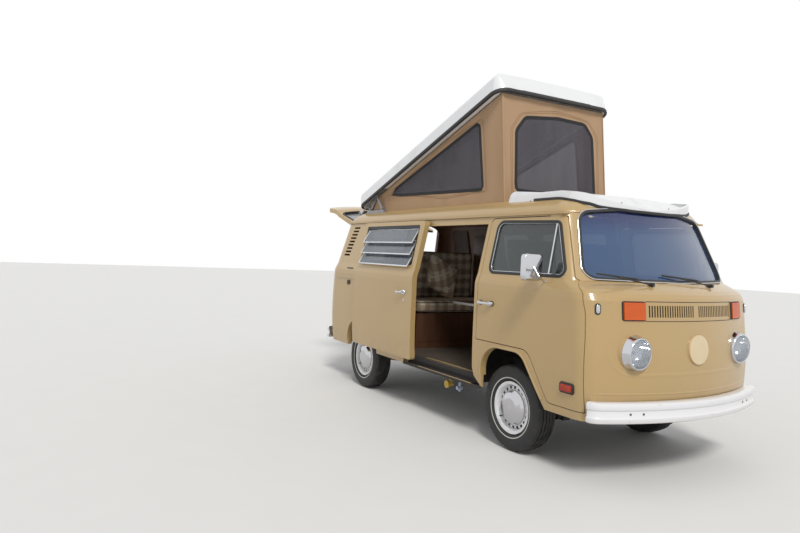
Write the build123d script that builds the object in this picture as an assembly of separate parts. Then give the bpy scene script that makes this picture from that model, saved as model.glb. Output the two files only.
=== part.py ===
from build123d import *
import math
import os

# Camper van with a rear-hinged lifting roof, raised. Millimetres, +X forward, +Y left, +Z up.
# Places along the van are given from the front axle, and the whole model is moved by
# front_axle_x when it is written, so that the origin is under the middle of the van.

front_axle_x = 1464.0
wheelbase = 2400.0
rear_axle = -wheelbase

# Shell of the body: wall, seams and running gaps
wall = 50.0
door_skin = 18.0
door_step = 14.0
panel_gap = 6.0
seat_gap = 0.3
sill_z = 412.0
gutter_z = 1762.0
floor_top_z = 496.0
floor_thick = 40.0
cab_floor_top_z = 612.0

# Plan sections of the body, from sill to roof. Each is two end arcs, two straight sides and
# four corner arcs. Columns: height, nose x, nose radius, half width, nose corner radius,
# tail x, tail radius, tail corner radius, share of the wall that is taken downwards.
SECTIONS = [
    (405.0, 952.0, 2100.0, 838.0, 130.0, -3372.0, 3600.0, 210.0, 0.0),
    (640.0, 984.0, 2100.0, 856.0, 140.0, -3398.0, 3600.0, 215.0, 0.0),
    (900.0, 975.0, 2100.0, 860.0, 145.0, -3400.0, 3600.0, 220.0, 0.0),
    (1190.0, 947.0, 2080.0, 860.0, 150.0, -3384.0, 3400.0, 225.0, 0.0),
    (1236.0, 926.0, 2040.0, 859.0, 150.0, -3376.0, 3300.0, 225.0, 0.0),
    (1262.0, 893.0, 1980.0, 852.0, 130.0, -3368.0, 3200.0, 225.0, 0.0),
    (1311.0, 797.0, 1800.0, 834.0, 90.0, -3348.0, 3000.0, 225.0, 0.0),
    (1762.0, 579.0, 1800.0, 738.0, 90.0, -3222.0, 2600.0, 210.0, 0.0),
    (1810.0, 552.0, 1800.0, 716.0, 120.0, -3196.0, 2600.0, 220.0, 0.3),
    (1858.0, 506.0, 1800.0, 668.0, 150.0, -3150.0, 2600.0, 230.0, 0.7),
    (1904.0, 424.0, 1700.0, 560.0, 200.0, -3060.0, 2500.0, 240.0, 0.9),
    (1932.0, 300.0, 1500.0, 380.0, 200.0, -2920.0, 2400.0, 240.0, 1.0),
]

# Cab door, seen from the side
DOOR_SEAM = [(781.0, 470.0), (770.0, 950.0), (758.0, 1107.0), (727.0, 1236.0), (611.0, 1323.0),
             (440.0, 1745.0)]
door_rear_x = -355.0
door_low_z = 470.0
door_arch_low_x = 462.0
door_arch_top_x = 252.0
door_arch_top_z = 796.0
door_top_z = 1745.0
header_rear_x = 300.0

# Sliding door opening in the right side, and the door stood open behind it
opening_front_x = -400.0
opening_rear_x = -1500.0
opening_foot_x = -268.0
opening_top_z = 1704.0
slide_front_x = -1245.0
slide_length = 1215.0
slide_out = 76.0
slide_low_z = 480.0
slide_top_z = 1752.0
slide_window_rear = 75.0
slide_window_front = 75.0

# Windows, seen from the side: rear x, front x, low z, high z
window_low_z = 1332.0
window_high_z = 1712.0
window_radius = 55.0
LEFT_WINDOWS = [(-1440.0, -520.0), (-2440.0, -1600.0)]
RIGHT_WINDOWS = [(-2440.0, -1640.0)]
glass_thick = 8.0
glass_inset = 14.0
glass_fit = 0.3
slot_count = 9
slot_low_x = -2985.0
slot_low_z = 1396.0
slot_lean = 14.0
slot_pitch = 38.0
slot_long = 140.0
slot_high = 20.0
tail_seam_x = -3120.0
tail_top_z = 1880.0
gutter_rear_x = -3040.0
gutter_front_x = 440.0
gutter_inner_y = 690.0
gutter_outer_y = 752.0
gutter_thick = 14.0

# Cab door window, corners as (x, z): low rear, low front, high front, high rear
CAB_WINDOW = [(-262.0, 1328.0), (556.0, 1334.0), (402.0, 1700.0), (-262.0, 1716.0)]
CAB_WINDOW_RADII = [55.0, 40.0, 40.0, 60.0]

# Windscreen opening, seen from the front: half width and height at foot and head
windscreen_low = (738.0, 1330.0)
windscreen_high = (632.0, 1776.0)
windscreen_mid_low_z = 1318.0
windscreen_mid_high_z = 1842.0

# Wheels and arches
tyre_radius = 322.0
tyre_width = 188.0
rim_radius = 178.0
flange_radius = 195.0
front_track_half = 697.0
rear_track_half = 727.0
arch_foot_z = 380.0
arch_top_z = 758.0
arch_rear_x = -284.0
arch_head_x = 182.0
arch_front_x = 452.0
arch_rear_radius = 200.0
arch_front_radius = 150.0
rear_arch_half = 345.0
rear_arch_top_z = 700.0
rear_arch_round = 230.0
arch_box_front = 462.0
arch_box_rear = -392.0
arch_box_top_z = 776.0
arch_inner_y = 440.0
rear_arch_inner_y = 590.0
arch_skin = 12.0

# Steering
kingpin_y = 618.0
kingpin_radius = 16.0
steering_wheel_x = 330.0
steering_wheel_y = 370.0
steering_wheel_z = 1150.0
steering_wheel_radius = 195.0
steering_tilt_deg = 28.0

# Bumpers: face x on the centre line, plan radius, half width, band heights
bumper_face_x = 1062.0
bumper_plan_radius = 2050.0
bumper_half = 862.0
bumper_low_z = 420.0
bumper_high_z = 556.0
bumper_deep = 74.0
bumper_skin = 10.0
bumper_corner = 90.0
rear_bumper_face_x = -3452.0
rear_bumper_radius = 3400.0

# Lamps and grille on the nose
headlamp_y = 530.0
headlamp_z = 859.0
headlamp_radius = 103.0
headlamp_bowl = 94.0
headlamp_face_x = 932.0
headlamp_deep = 150.0
nose_disc_z = 875.0
nose_disc_radius = 98.0
signal_y = 535.0
signal_z = 1129.0
signal_width = 152.0
signal_height = 112.0
grille_half = 452.0
grille_low_z = 1066.0
grille_high_z = 1190.0
grille_slots = 40
grille_deep = 26.0
trim_proud = 14.0
tail_lamp_inner_y = 668.0
tail_lamp_outer_y = 792.0
tail_lamp_low_z = 872.0
tail_lamp_high_z = 1092.0

# Tailgate, hinged above the opening and stood open
tailgate_hinge_x = -3204.0
tailgate_hinge_z = 1804.0
tailgate_low_z = 1015.0
tailgate_high_z = 1800.0
tailgate_half_low = 612.0
tailgate_half_high = 545.0
tailgate_open_deg = 94.0
tail_window_low_z = 1330.0
tail_window_high_z = 1718.0
tail_window_half_low = 556.0
tail_window_half_high = 505.0
lid_low_z = 590.0
lid_high_z = 955.0
lid_half = 478.0

# Lifting roof shell, given as it lies closed, then turned up about its rear hinge
lift_hinge_x = -3090.0
lift_hinge_z = 1898.0
lift_angle_deg = 19.1
lift_rear_x = -2993.0
lift_front_x = -312.0
lift_half = 654.0
lift_low_z = 1908.0
lift_height = 205.0
lift_crown = 36.0
lift_skin = 16.0
lift_corner = 120.0
roof_hole = (-2700.0, -560.0, 500.0)
bracket_y = 603.0
bracket_rear_x = -2838.0
bracket_front_x = -2440.0
bracket_base_z = 1912.0
link_front_foot_x = -2500.0
link_rear_foot_x = -2775.0
link_apex = (-2640.0, 2086.0)
link_thick = 9.0
link_wide = 26.0

# Luggage tray over the cab
tray_rear_x = -290.0
tray_half = 655.0
tray_skin = 14.0
tray_front_x = 560.0
tray_base_z = 1770.0

# Tent between roof and lifting roof
tent_half = 582.0
tent_skin = 6.0
tent_rear_x = -2800.0
tent_front_x = -420.0
tent_low_z = 1860.0

# Floor, deck and wheel boxes
engine_wall_x = -2560.0
deck_top_z = 962.0
deck_thick = 16.0
riser_thick = 14.0
floor_front_half = 785.0
wheel_box_low_z = 432.0
rear_box_short = 70.0
arch_relief_x = -334.0
arch_relief_y = 822.0
arch_relief_z = 520.0

# Sill step along the sliding door opening
step_out = 846.0
step_in = 770.0
step_skin = 12.0

# Chassis rails, jack sockets and tow eyes
rail_y = 320.0
rail_wide = 70.0
rail_low_z = 372.0
cab_rail_low_z = 440.0
rear_rail_low_z = 440.0
rear_rail_high_z = 560.0
rail_front_x = 856.0
rail_rear_x = -3290.0
JACK_SOCKETS_X = (-560.0, -1880.0)
jack_y = 740.0
jack_outer = 21.0
jack_bore = 13.0
jack_low_z = 400.0
jack_deep = 44.0
tow_eye_x = 800.0
tow_eye_out = 28.0
tow_eye_long = 80.0
tow_eye_wide = 60.0
tow_eye_bore = 16.0
tow_eye_thick = 14.0

# Door mirrors
mirror_x = 382.0
mirror_y = 966.0
mirror_z = 1383.0
mirror_half_wide = 84.0
mirror_half_high = 92.0
mirror_foot_x = 372.0
mirror_foot_y = 840.0
mirror_foot_z = 1282.0

# Sliding door: where its side is taken from, its louvre window and the rail cover behind it
slide_side_shift = -700.0
louvre_frame = 26.0
blade_count = 3
blade_wide = 150.0
blade_tilt_deg = 30.0
rail_cover_low_z = 1150.0
rail_cover_high_z = 1184.0
rail_cover_proud = 10.0

# Ends and edges of the bumpers
bumper_return = 30.0
bumper_edge = 16.0

# Wipers and the bezels of the head lamps
wiper_pivots = (-300.0, 330.0)
wiper_reach = 300.0
wiper_blade_half = 165.0
headlamp_bezel = 134.0

# Hinges of the tailgate
tailgate_hinge_y = 356.0
tailgate_knuckle_half = 15.0
tailgate_knuckle_radius = 11.0
tailgate_pin_radius = 5.0
tailgate_lug_half = 27.0

# Hinge and edges of the lifting roof, and of the tray ahead of it
hinge_pin = 7.0
lift_arm_y = 580.0
lift_arm_thick = 12.0
link_foot_z = 1930.0
lift_rear_slope = 110.0
lift_flange_rear_x = -2390.0
lift_clear = 14.0
tray_lip_z = 1836.0
tray_high_z = 2004.0

# Dashboard, steering column and cab seats
dash_rear_x = 600.0
dash_half = 780.0
column_radius = 24.0
column_short = 30.0
seat_middle_y = 400.0
seat_half = 240.0
seat_rear_x = -230.0
seat_front_x = 260.0
seat_low_z = 830.0
seat_lean_deg = 10.0

# Living quarters
kitchen_rear_x = -1560.0
kitchen_front_x = -480.0
kitchen_inner_y = 400.0
kitchen_top_z = 1180.0
bench_front_x = -1760.0
bench_right_y = -560.0
bench_top_z = 850.0
bench_rear_pad_x = -2380.0
cushion_left_y = 560.0
cushion_thick = 130.0
wardrobe_rear_x = -2375.0
wardrobe_front_x = -2010.0
wardrobe_top_z = 1700.0
table_rear_x = -1500.0
table_front_x = -800.0
table_right_y = -330.0
table_left_y = 300.0
table_z = 1000.0

# Front axle and stub axles
beam_x = 118.0
beam_low_z = 258.0
beam_high_z = 398.0
beam_radius = 28.0
beam_half = 430.0
stub_radius = 22.0

# Engine, water outlets, rims and tyres
engine_front_x = -2590.0
cap_x = -961.0
tap_x = -791.0
outlet_z = 304.0
outlet_y = -700.0
rim_slot_count = 20
rim_slot_radius = 147.0
tyre_sides = 48

# Reach of cutting blocks that must go right through a side
far = 1000.0
near = 300.0

parts = {}


def block(x0, x1, y0, y1, z0, z1):
    size = Box(x1 - x0, y1 - y0, z1 - z0, align=(Align.MIN, Align.MIN, Align.MIN))
    return Pos(x0, y0, z0) * size


def mirrored(shape):
    return mirror(shape, about=Plane.XZ)


def both_sides(shape):
    return shape + mirrored(shape)


def largest(shape):
    """The main solid of a cut, without slivers."""
    return shape.solids().sort_by(SortBy.VOLUME)[-1]


def turned(shape, x, z, degrees):
    """Turn a shape about a line along Y through (x, z), its front going up."""
    return Pos(x, 0, z) * Rot(0, -degrees, 0) * Pos(-x, 0, -z) * shape


def turned_place(place, x, z, degrees):
    """Where the (x, z) place goes when it turns about (x, z), its front going up."""
    angle = math.radians(degrees)
    dx = place[0] - x
    dz = place[1] - z
    along = dx * math.cos(angle) - dz * math.sin(angle)
    above = dx * math.sin(angle) + dz * math.cos(angle)
    return x + along, z + above


def outline_face(points, radii, plane):
    """A face in a plane from corner points, each corner rounded by its own radius."""
    count = len(points)
    if not isinstance(radii, (list, tuple)):
        radii = [radii] * count
    stops = []
    for index in range(count):
        before = Vector(*points[index - 1])
        corner = Vector(*points[index])
        after = Vector(*points[(index + 1) % count])
        radius = radii[index]
        to_before = (before - corner).normalized()
        to_after = (after - corner).normalized()
        half_angle = math.radians(to_before.get_angle(to_after)) / 2
        back = radius / math.tan(half_angle)
        middle = corner
        if radius > 0:
            inward = (to_before + to_after).normalized()
            middle = corner + inward * (radius / math.sin(half_angle) - radius)
        stops.append((corner + to_before * back, middle, corner + to_after * back, radius))
    edges = []
    for index in range(count):
        start, middle, end, radius = stops[index]
        following = stops[(index + 1) % count][0]
        if radius > 0:
            edges.append(Edge.make_three_point_arc(start, middle, end))
        if (following - end).length > 0.001:
            edges.append(Edge.make_line(end, following))
    return plane * Face(Wire(edges))


def side_prism(points, y0, y1, radii=0.0):
    """An outline of (x, z) points extruded across the van."""
    plane = Plane((0, y0, 0), x_dir=(1, 0, 0), z_dir=(0, -1, 0))
    return extrude(outline_face(points, radii, plane), amount=y1 - y0, dir=(0, 1, 0))


def front_prism(points, x0, x1, radii=0.0):
    """An outline of (y, z) points extruded along the van."""
    plane = Plane((x0, 0, 0), x_dir=(0, 1, 0), z_dir=(1, 0, 0))
    return extrude(outline_face(points, radii, plane), amount=x1 - x0, dir=(1, 0, 0))


def plan_prism(points, z0, z1, radii=0.0):
    """An outline of (x, y) points extruded upwards."""
    plane = Plane((0, 0, z0), x_dir=(1, 0, 0), z_dir=(0, 0, 1))
    return extrude(outline_face(points, radii, plane), amount=z1 - z0, dir=(0, 0, 1))


def along_y(x, z, radius, y0, y1):
    """A round bar across the van."""
    face = Plane((x, y0, z), x_dir=(1, 0, 0), z_dir=(0, 1, 0)) * Circle(radius)
    return extrude(face, amount=y1 - y0, dir=(0, 1, 0))


def along_x(y, z, radius, x0, x1):
    """A round bar along the van."""
    face = Plane((x0, y, z), x_dir=(0, 1, 0), z_dir=(1, 0, 0)) * Circle(radius)
    return extrude(face, amount=x1 - x0, dir=(1, 0, 0))


def upright(x, y, radius, z0, z1):
    return Pos(x, y, z0) * Cylinder(radius, z1 - z0, align=(Align.CENTER, Align.CENTER, Align.MIN))


def round_bar(start, end, radius):
    line = Vector(*end) - Vector(*start)
    plane = Plane(start, z_dir=line.normalized())
    return extrude(plane * Circle(radius), amount=line.length)


def spun(profile, x, y, z):
    """Turn a closed (radius, offset) profile about a line along Y through (x, y, z)."""
    points = [(x + r, y + offset, z) for r, offset in profile]
    face = make_face(Polyline(*points, close=True))
    return revolve(face, axis=Axis((x, y, z), (0, 1, 0)))


def corner_arc(centre_x, radius, half, corner, way):
    """Corner between an end arc and the left side: arc point, middle point, side point."""
    cy = half - corner
    reach = radius - corner
    cx = centre_x + way * math.sqrt(reach ** 2 - cy ** 2)
    grow = radius / reach
    on_arc = (centre_x + (cx - centre_x) * grow, cy * grow)
    ux = (cx - centre_x) / reach
    uy = cy / reach + 1.0
    long = math.hypot(ux, uy)
    middle = (cx + corner * ux / long, cy + corner * uy / long)
    return on_arc, middle, (cx, half)


def bowed_plan(face_x, radius, half, corner, back_x, way, inset):
    """Plan with one bowed end and rounded corners: way 1 bows forward, -1 rearward."""
    centre = face_x - way * radius
    a, m, s = corner_arc(centre, radius - inset, half - inset, corner - inset, way)
    arc = Edge.make_three_point_arc
    edges = [
        arc((a[0], -a[1]), (face_x - way * inset, 0), a),
        arc(a, m, s),
        Edge.make_line(s, (back_x, s[1])),
        Edge.make_line((back_x, s[1]), (back_x, -s[1])),
        Edge.make_line((back_x, -s[1]), (s[0], -s[1])),
        arc((s[0], -s[1]), (m[0], -m[1]), (a[0], -a[1])),
    ]
    return Face(Wire(edges))


def plan_wire(row, inset):
    """One closed plan section of the body, drawn in by inset all round."""
    height, nose, nose_r, half, nose_c, tail, tail_r, tail_c, share = row
    side = inset * (1.0 - 0.75 * share)
    z = height - inset * share
    f0, f1, f2 = corner_arc(nose - nose_r, nose_r - side, half - side, nose_c - side, 1)
    b0, b1, b2 = corner_arc(tail + tail_r, tail_r - side, half - side, tail_c - side, -1)
    arc = Edge.make_three_point_arc
    edges = [
        arc((f0[0], -f0[1], z), (nose - side, 0, z), (f0[0], f0[1], z)),
        arc((f0[0], f0[1], z), (f1[0], f1[1], z), (f2[0], f2[1], z)),
        Edge.make_line((f2[0], f2[1], z), (b2[0], b2[1], z)),
        arc((b2[0], b2[1], z), (b1[0], b1[1], z), (b0[0], b0[1], z)),
        arc((b0[0], b0[1], z), (tail + side, 0, z), (b0[0], -b0[1], z)),
        arc((b0[0], -b0[1], z), (b1[0], -b1[1], z), (b2[0], -b2[1], z)),
        Edge.make_line((b2[0], -b2[1], z), (f2[0], -f2[1], z)),
        arc((f2[0], -f2[1], z), (f1[0], -f1[1], z), (f0[0], -f0[1], z)),
    ]
    return Wire(edges)


# Stretches of the body: first row, row after the last, whether straight between rows
LOWER = (0, 4, False)
BELT = (3, 7, True)
UPPER = (6, 8, True)
CROWN = (7, 12, False)


def body_form(inset, stretches=(LOWER, BELT, UPPER, CROWN)):
    """The whole body, or some stretches of its height, as a solid drawn in by inset."""
    form = None
    for first, last, straight in stretches:
        wires = [plan_wire(row, inset) for row in SECTIONS[first:last]]
        piece = Solid.make_loft(wires, straight)
        form = piece if form is None else form + piece
    return form


def grown(points, grow):
    """An outline moved out on every side by grow, its points going round anticlockwise."""
    lines = []
    count = len(points)
    for index in range(count):
        a = points[index]
        b = points[(index + 1) % count]
        long = math.hypot(b[0] - a[0], b[1] - a[1])
        nx = (b[1] - a[1]) / long
        ny = -(b[0] - a[0]) / long
        lines.append((a[0] + nx * grow, a[1] + ny * grow, b[0] - a[0], b[1] - a[1]))
    result = []
    for index in range(count):
        px, py, dx, dy = lines[index - 1]
        qx, qy, ex, ey = lines[index]
        cross = dx * ey - dy * ex
        t = ((qx - px) * ey - (qy - py) * ex) / cross
        result.append((px + dx * t, py + dy * t))
    return result


# Outlines that several pieces share, points going round anticlockwise
CAB_DOOR = [
    (door_rear_x, door_arch_top_z),
    (door_arch_top_x, door_arch_top_z),
    (door_arch_low_x, door_low_z),
] + [(x - panel_gap, z) for x, z in DOOR_SEAM] + [(door_rear_x, door_top_z)]
CAB_DOOR_RADII = [8.0, 130.0, 45.0, 8.0, 300.0, 200.0, 60.0, 45.0, 30.0, 45.0]
FRONT_ARCH = [
    (arch_rear_x, arch_foot_z), (arch_front_x, arch_foot_z),
    (arch_head_x, arch_top_z), (arch_rear_x, arch_top_z),
]
FRONT_ARCH_RADII = [0.0, 0.0, arch_front_radius, arch_rear_radius]
REAR_ARCH = [
    (rear_axle - rear_arch_half, arch_foot_z), (rear_axle + rear_arch_half, arch_foot_z),
    (rear_axle + rear_arch_half, rear_arch_top_z), (rear_axle - rear_arch_half, rear_arch_top_z),
]
REAR_ARCH_RADII = [0.0, 0.0, rear_arch_round, rear_arch_round]
WINDSCREEN = [
    (-windscreen_low[0], windscreen_low[1]),
    (0.0, windscreen_mid_low_z),
    windscreen_low,
    windscreen_high,
    (0.0, windscreen_mid_high_z),
    (-windscreen_high[0], windscreen_high[1]),
]
WINDSCREEN_RADII = [70.0, 2000.0, 70.0, 110.0, 1500.0, 110.0]
TAILGATE = [
    (-tailgate_half_low, tailgate_low_z), (tailgate_half_low, tailgate_low_z),
    (tailgate_half_high, tailgate_high_z), (-tailgate_half_high, tailgate_high_z),
]
TAIL_WINDOW = [
    (-tail_window_half_low, tail_window_low_z), (tail_window_half_low, tail_window_low_z),
    (tail_window_half_high, tail_window_high_z), (-tail_window_half_high, tail_window_high_z),
]
ENGINE_LID = [
    (-lid_half, lid_low_z), (lid_half, lid_low_z), (lid_half, lid_high_z), (-lid_half, lid_high_z),
]


def window_outline(rear, front):
    return [
        (rear, window_low_z), (front, window_low_z),
        (front, window_high_z), (rear, window_high_z),
    ]


# Solids of the body at several depths, from which panels, glass and trim are taken
outer_form = body_form(0.0)
inner_form = body_form(wall)
inner_fit = body_form(wall + seat_gap)
outer_fit = body_form(-seat_gap)
skin_form = body_form(door_skin, (LOWER, BELT, UPPER))
trim_form = body_form(-trim_proud, (LOWER,))
grille_back = body_form(grille_deep, (LOWER,))
glass_form = body_form(glass_inset, (BELT, UPPER, CROWN))
glass_shell = glass_form - body_form(glass_inset + glass_thick, (BELT, UPPER, CROWN))
shell = outer_form - inner_form - block(-4000, 2000, -1000, 1000, 300, sill_z)
nose_zone = side_prism(
    [
        (DOOR_SEAM[0][0], 300.0), (1400.0, 300.0), (1400.0, 2000.0), (header_rear_x, 2000.0),
        (header_rear_x, door_top_z),
    ] + DOOR_SEAM[::-1],
    -far, far, [0.0] * 5 + [0.0, 45.0, 60.0, 200.0, 300.0, 0.0],
)

gutter = block(gutter_rear_x, gutter_front_x, gutter_inner_y, gutter_outer_y,
               gutter_z + seat_gap, gutter_z + gutter_thick)
gutters = both_sides(gutter - inner_form)

# Nose panel with the windscreen frame, lamp seats and the hole for the air grille
nose = (shell & nose_zone) - front_prism(WINDSCREEN, 200, 1400, WINDSCREEN_RADII)
nose = nose - block(700, 1400, -grille_half, grille_half, grille_low_z, grille_high_z)
bezel = Pos(headlamp_face_x - 40, headlamp_y, headlamp_z) * Rot(0, 90, 0) * Cone(
    headlamp_bezel, headlamp_radius + 4, 76)
nose = nose + both_sides(bezel - inner_form)
nose = nose - both_sides(along_x(headlamp_y, headlamp_z, headlamp_bowl, 700, 1100))
nose = nose - both_sides(along_x(headlamp_y, headlamp_z, headlamp_radius + 1, headlamp_face_x, 1100))
nose = nose + (gutters & block(header_rear_x, 1200, -far, far, 1700, 2000))
parts["front_panel"] = largest(nose)

# Side panels with arches, door openings, windows and the air slots of the rear pillars
side_raw = shell & block(tail_seam_x + seat_gap, 1200, 5, far, sill_z, gutter_z)
side_raw = side_raw - nose_zone
side_raw = side_raw - side_prism(FRONT_ARCH, near, far, FRONT_ARCH_RADII)
side_raw = side_raw - side_prism(REAR_ARCH, near, far, REAR_ARCH_RADII)
side_raw = side_raw - block(arch_relief_x, arch_rear_x + 1, near, arch_relief_y, near, arch_relief_z)
side_raw = side_raw - side_prism(grown(CAB_DOOR, panel_gap), near, far, CAB_DOOR_RADII)
for row in range(slot_count):
    z = slot_low_z + row * slot_pitch
    x = slot_low_x + row * slot_lean
    side_raw = side_raw - block(x, x + slot_long, near, far, z, z + slot_high)
left = side_raw
for rear, front in LEFT_WINDOWS:
    left = left - side_prism(window_outline(rear, front), near, far, window_radius)
parts["side_left"] = largest(left)
right = mirrored(side_raw)
for rear, front in RIGHT_WINDOWS:
    right = right - side_prism(window_outline(rear, front), -far, -near, window_radius)
right = right - side_prism(
    [
        (opening_rear_x, near), (opening_foot_x, near), (opening_foot_x, sill_z),
        (opening_front_x + 22.0, floor_top_z), (opening_front_x, floor_top_z + 60.0),
        (opening_front_x, opening_top_z), (opening_rear_x, opening_top_z),
    ],
    -far, -near,
)
rail_cover = (body_form(-rail_cover_proud, (LOWER,)) - outer_form) & block(
    gutter_rear_x, opening_rear_x, -far, -near, rail_cover_low_z, rail_cover_high_z)
parts["side_right"] = largest(right) + rail_cover

# Tail panel with tailgate and engine lid openings
tail_panel = shell & block(-3600, tail_seam_x, -far, far, sill_z, tail_top_z)
tail_panel = tail_panel - front_prism(grown(TAILGATE, panel_gap), -3600, tail_seam_x + 1, 60.0)
tail_panel = tail_panel - front_prism(grown(ENGINE_LID, panel_gap), -3600, -3000, 40.0)
hinge_at = (tailgate_hinge_x, tailgate_hinge_z)
lugs = block(tailgate_hinge_x - 12, tailgate_hinge_x + 40, tailgate_hinge_y - tailgate_lug_half,
             tailgate_hinge_y + tailgate_lug_half, tailgate_hinge_z + 4, tailgate_hinge_z + 16)
lugs = lugs + along_y(*hinge_at, tailgate_knuckle_radius, tailgate_hinge_y - tailgate_lug_half,
                      tailgate_hinge_y + tailgate_lug_half)
knuckle_clear = along_y(*hinge_at, tailgate_knuckle_radius + 8, tailgate_hinge_y - tailgate_knuckle_half - 1,
                        tailgate_hinge_y + tailgate_knuckle_half + 1)
tailgate_pin = along_y(*hinge_at, tailgate_pin_radius, tailgate_hinge_y - tailgate_lug_half,
                       tailgate_hinge_y + tailgate_lug_half)
tail_panel = (tail_panel + both_sides(lugs)) - both_sides(knuckle_clear) + both_sides(tailgate_pin)
parts["tail_panel"] = tail_panel

# Roof with its rain gutters and the hole under the lifting roof
roof = shell & block(-3600, 1200, -far, far, gutter_z + seat_gap, 2000)
roof = roof - nose_zone - block(-3600, tail_seam_x + seat_gap, -far, far, 1700, tail_top_z + seat_gap)
roof = roof - block(roof_hole[0], roof_hole[1], -roof_hole[2], roof_hole[2], 1700, 2000)
roof = roof + (gutters & block(-3600, header_rear_x - seat_gap, -far, far, 1700, 2000))
parts["roof"] = roof

# Wheel boxes over the four wheels, open below and to the outside
cargo_front_x = arch_box_rear - arch_skin
wheel_boxes = None
box_room = None
for middle_x, front_x, inner_y, top_z in (
    (0.0, arch_box_front, arch_inner_y, arch_box_top_z),
    (rear_axle, arch_box_front - rear_box_short, rear_arch_inner_y, deck_top_z - deck_thick - arch_skin),
):
    rear_x = middle_x + arch_box_rear
    front_x = middle_x + front_x
    box_outline = [
        (rear_x - arch_skin, wheel_box_low_z), (front_x + arch_skin, wheel_box_low_z),
        (front_x + arch_skin, top_z + arch_skin), (rear_x - arch_skin, top_z + arch_skin),
    ]
    hollow_outline = grown(box_outline, -arch_skin)
    hollow_outline[0] = (rear_x, near)
    hollow_outline[1] = (front_x, near)
    box = side_prism(box_outline, inner_y - arch_skin, far, [0.0, 0.0, 90.0, 90.0])
    hollow = side_prism(hollow_outline, inner_y, far, [0.0, 0.0, 78.0, 78.0])
    wall_pair = both_sides((box - hollow) & inner_fit)
    wheel_boxes = wall_pair if wheel_boxes is None else wheel_boxes + wall_pair
    box_room = both_sides(box) if box_room is None else box_room + both_sides(box)
parts["wheel_boxes"] = wheel_boxes

# Floor: cargo and cab floors, the riser between them, the engine wall and deck, and the sill step
under_z = floor_top_z - floor_thick
floor = block(engine_wall_x, cargo_front_x, -far, far, under_z, floor_top_z)
floor = floor + block(cargo_front_x - riser_thick, cargo_front_x, -far, far, under_z, cab_floor_top_z)
cab_under_z = cab_floor_top_z - floor_thick
floor = floor + block(cargo_front_x, arch_box_front, -far, far, cab_under_z, cab_floor_top_z)
floor = floor + block(arch_box_front, 1100, -floor_front_half, floor_front_half, cab_under_z,
                      cab_floor_top_z)
floor = floor + block(engine_wall_x - riser_thick, engine_wall_x, -far, far, under_z, deck_top_z)
floor = floor + block(-3600, engine_wall_x, -far, far, deck_top_z - deck_thick, deck_top_z)
floor = (floor - box_room) & inner_fit
step = block(opening_rear_x, opening_foot_x - 26, -step_out, -step_out + step_skin, sill_z - 8, sill_z + 14)
step = step + block(opening_rear_x, cargo_front_x, -step_out, -step_in, sill_z - 8, sill_z + 2)
step = step + block(opening_rear_x, cargo_front_x, -step_in - step_skin, -step_in, sill_z - 8, under_z)
parts["floor"] = floor + step

# Chassis rails with outriggers to the jack sockets, and tow eyes inside their front ends
rails = None
for x0, x1, z0, z1 in (
    (engine_wall_x, cargo_front_x, rail_low_z, under_z),
    (cargo_front_x, rail_front_x, cab_rail_low_z, cab_under_z),
    (rail_rear_x, engine_wall_x - riser_thick, rear_rail_low_z, rear_rail_high_z),
    (engine_wall_x - riser_thick, engine_wall_x, rear_rail_low_z, under_z),
):
    rail = block(x0, x1, rail_y, rail_y + rail_wide, z0, z1)
    rails = rail if rails is None else rails + rail
for jack_x in JACK_SOCKETS_X:
    rails = rails + block(jack_x - jack_outer, jack_x + jack_outer, rail_y + 1, jack_y,
                          jack_low_z + jack_deep - 12, under_z)
    rails = rails + upright(jack_x, jack_y, jack_outer, jack_low_z, under_z)
    rails = rails - upright(jack_x, jack_y, jack_bore, jack_low_z - 5, jack_low_z + jack_deep)
eye_high_z = cab_rail_low_z + tow_eye_thick
rails = rails + block(tow_eye_x - tow_eye_long / 2, tow_eye_x + tow_eye_long / 2,
                      rail_y - tow_eye_wide, rail_y, cab_rail_low_z, eye_high_z)
rails = rails - upright(tow_eye_x, rail_y - tow_eye_out, tow_eye_bore, cab_rail_low_z - 5, eye_high_z + 5)
parts["chassis_rails"] = both_sides(rails)

# Windscreen and fixed side glass, each as thick glass set in from the outside
parts["windscreen"] = glass_shell & front_prism(
    grown(WINDSCREEN, -glass_fit), 200, 1400, WINDSCREEN_RADII)
side_glass = None
for windows, y0, y1 in ((LEFT_WINDOWS, near, far), (RIGHT_WINDOWS, -far, -near)):
    for rear, front in windows:
        outline = grown(window_outline(rear, front), -glass_fit)
        pane = glass_shell & side_prism(outline, y0, y1, window_radius)
        side_glass = pane if side_glass is None else side_glass + pane
parts["side_glass"] = side_glass

# Cab doors: an outer skin that fills the opening and an inner frame a step smaller
door_shell_outer = shell - skin_form
door_shell_inner = (skin_form - inner_form) & block(-1000, 1200, -far, far, 300, 1900)
door = door_shell_outer & side_prism(CAB_DOOR, near, far, CAB_DOOR_RADII)
door = door + (door_shell_inner & side_prism(grown(CAB_DOOR, -door_step), near, far, CAB_DOOR_RADII))
door = door - side_prism(CAB_WINDOW, near, far, CAB_WINDOW_RADII)
cab_glass = glass_shell & side_prism(grown(CAB_WINDOW, -glass_fit), near, far, CAB_WINDOW_RADII)
parts["cab_door_left"] = door
parts["cab_door_right"] = mirrored(door)
parts["cab_glass_left"] = cab_glass
parts["cab_glass_right"] = mirrored(cab_glass)

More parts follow.
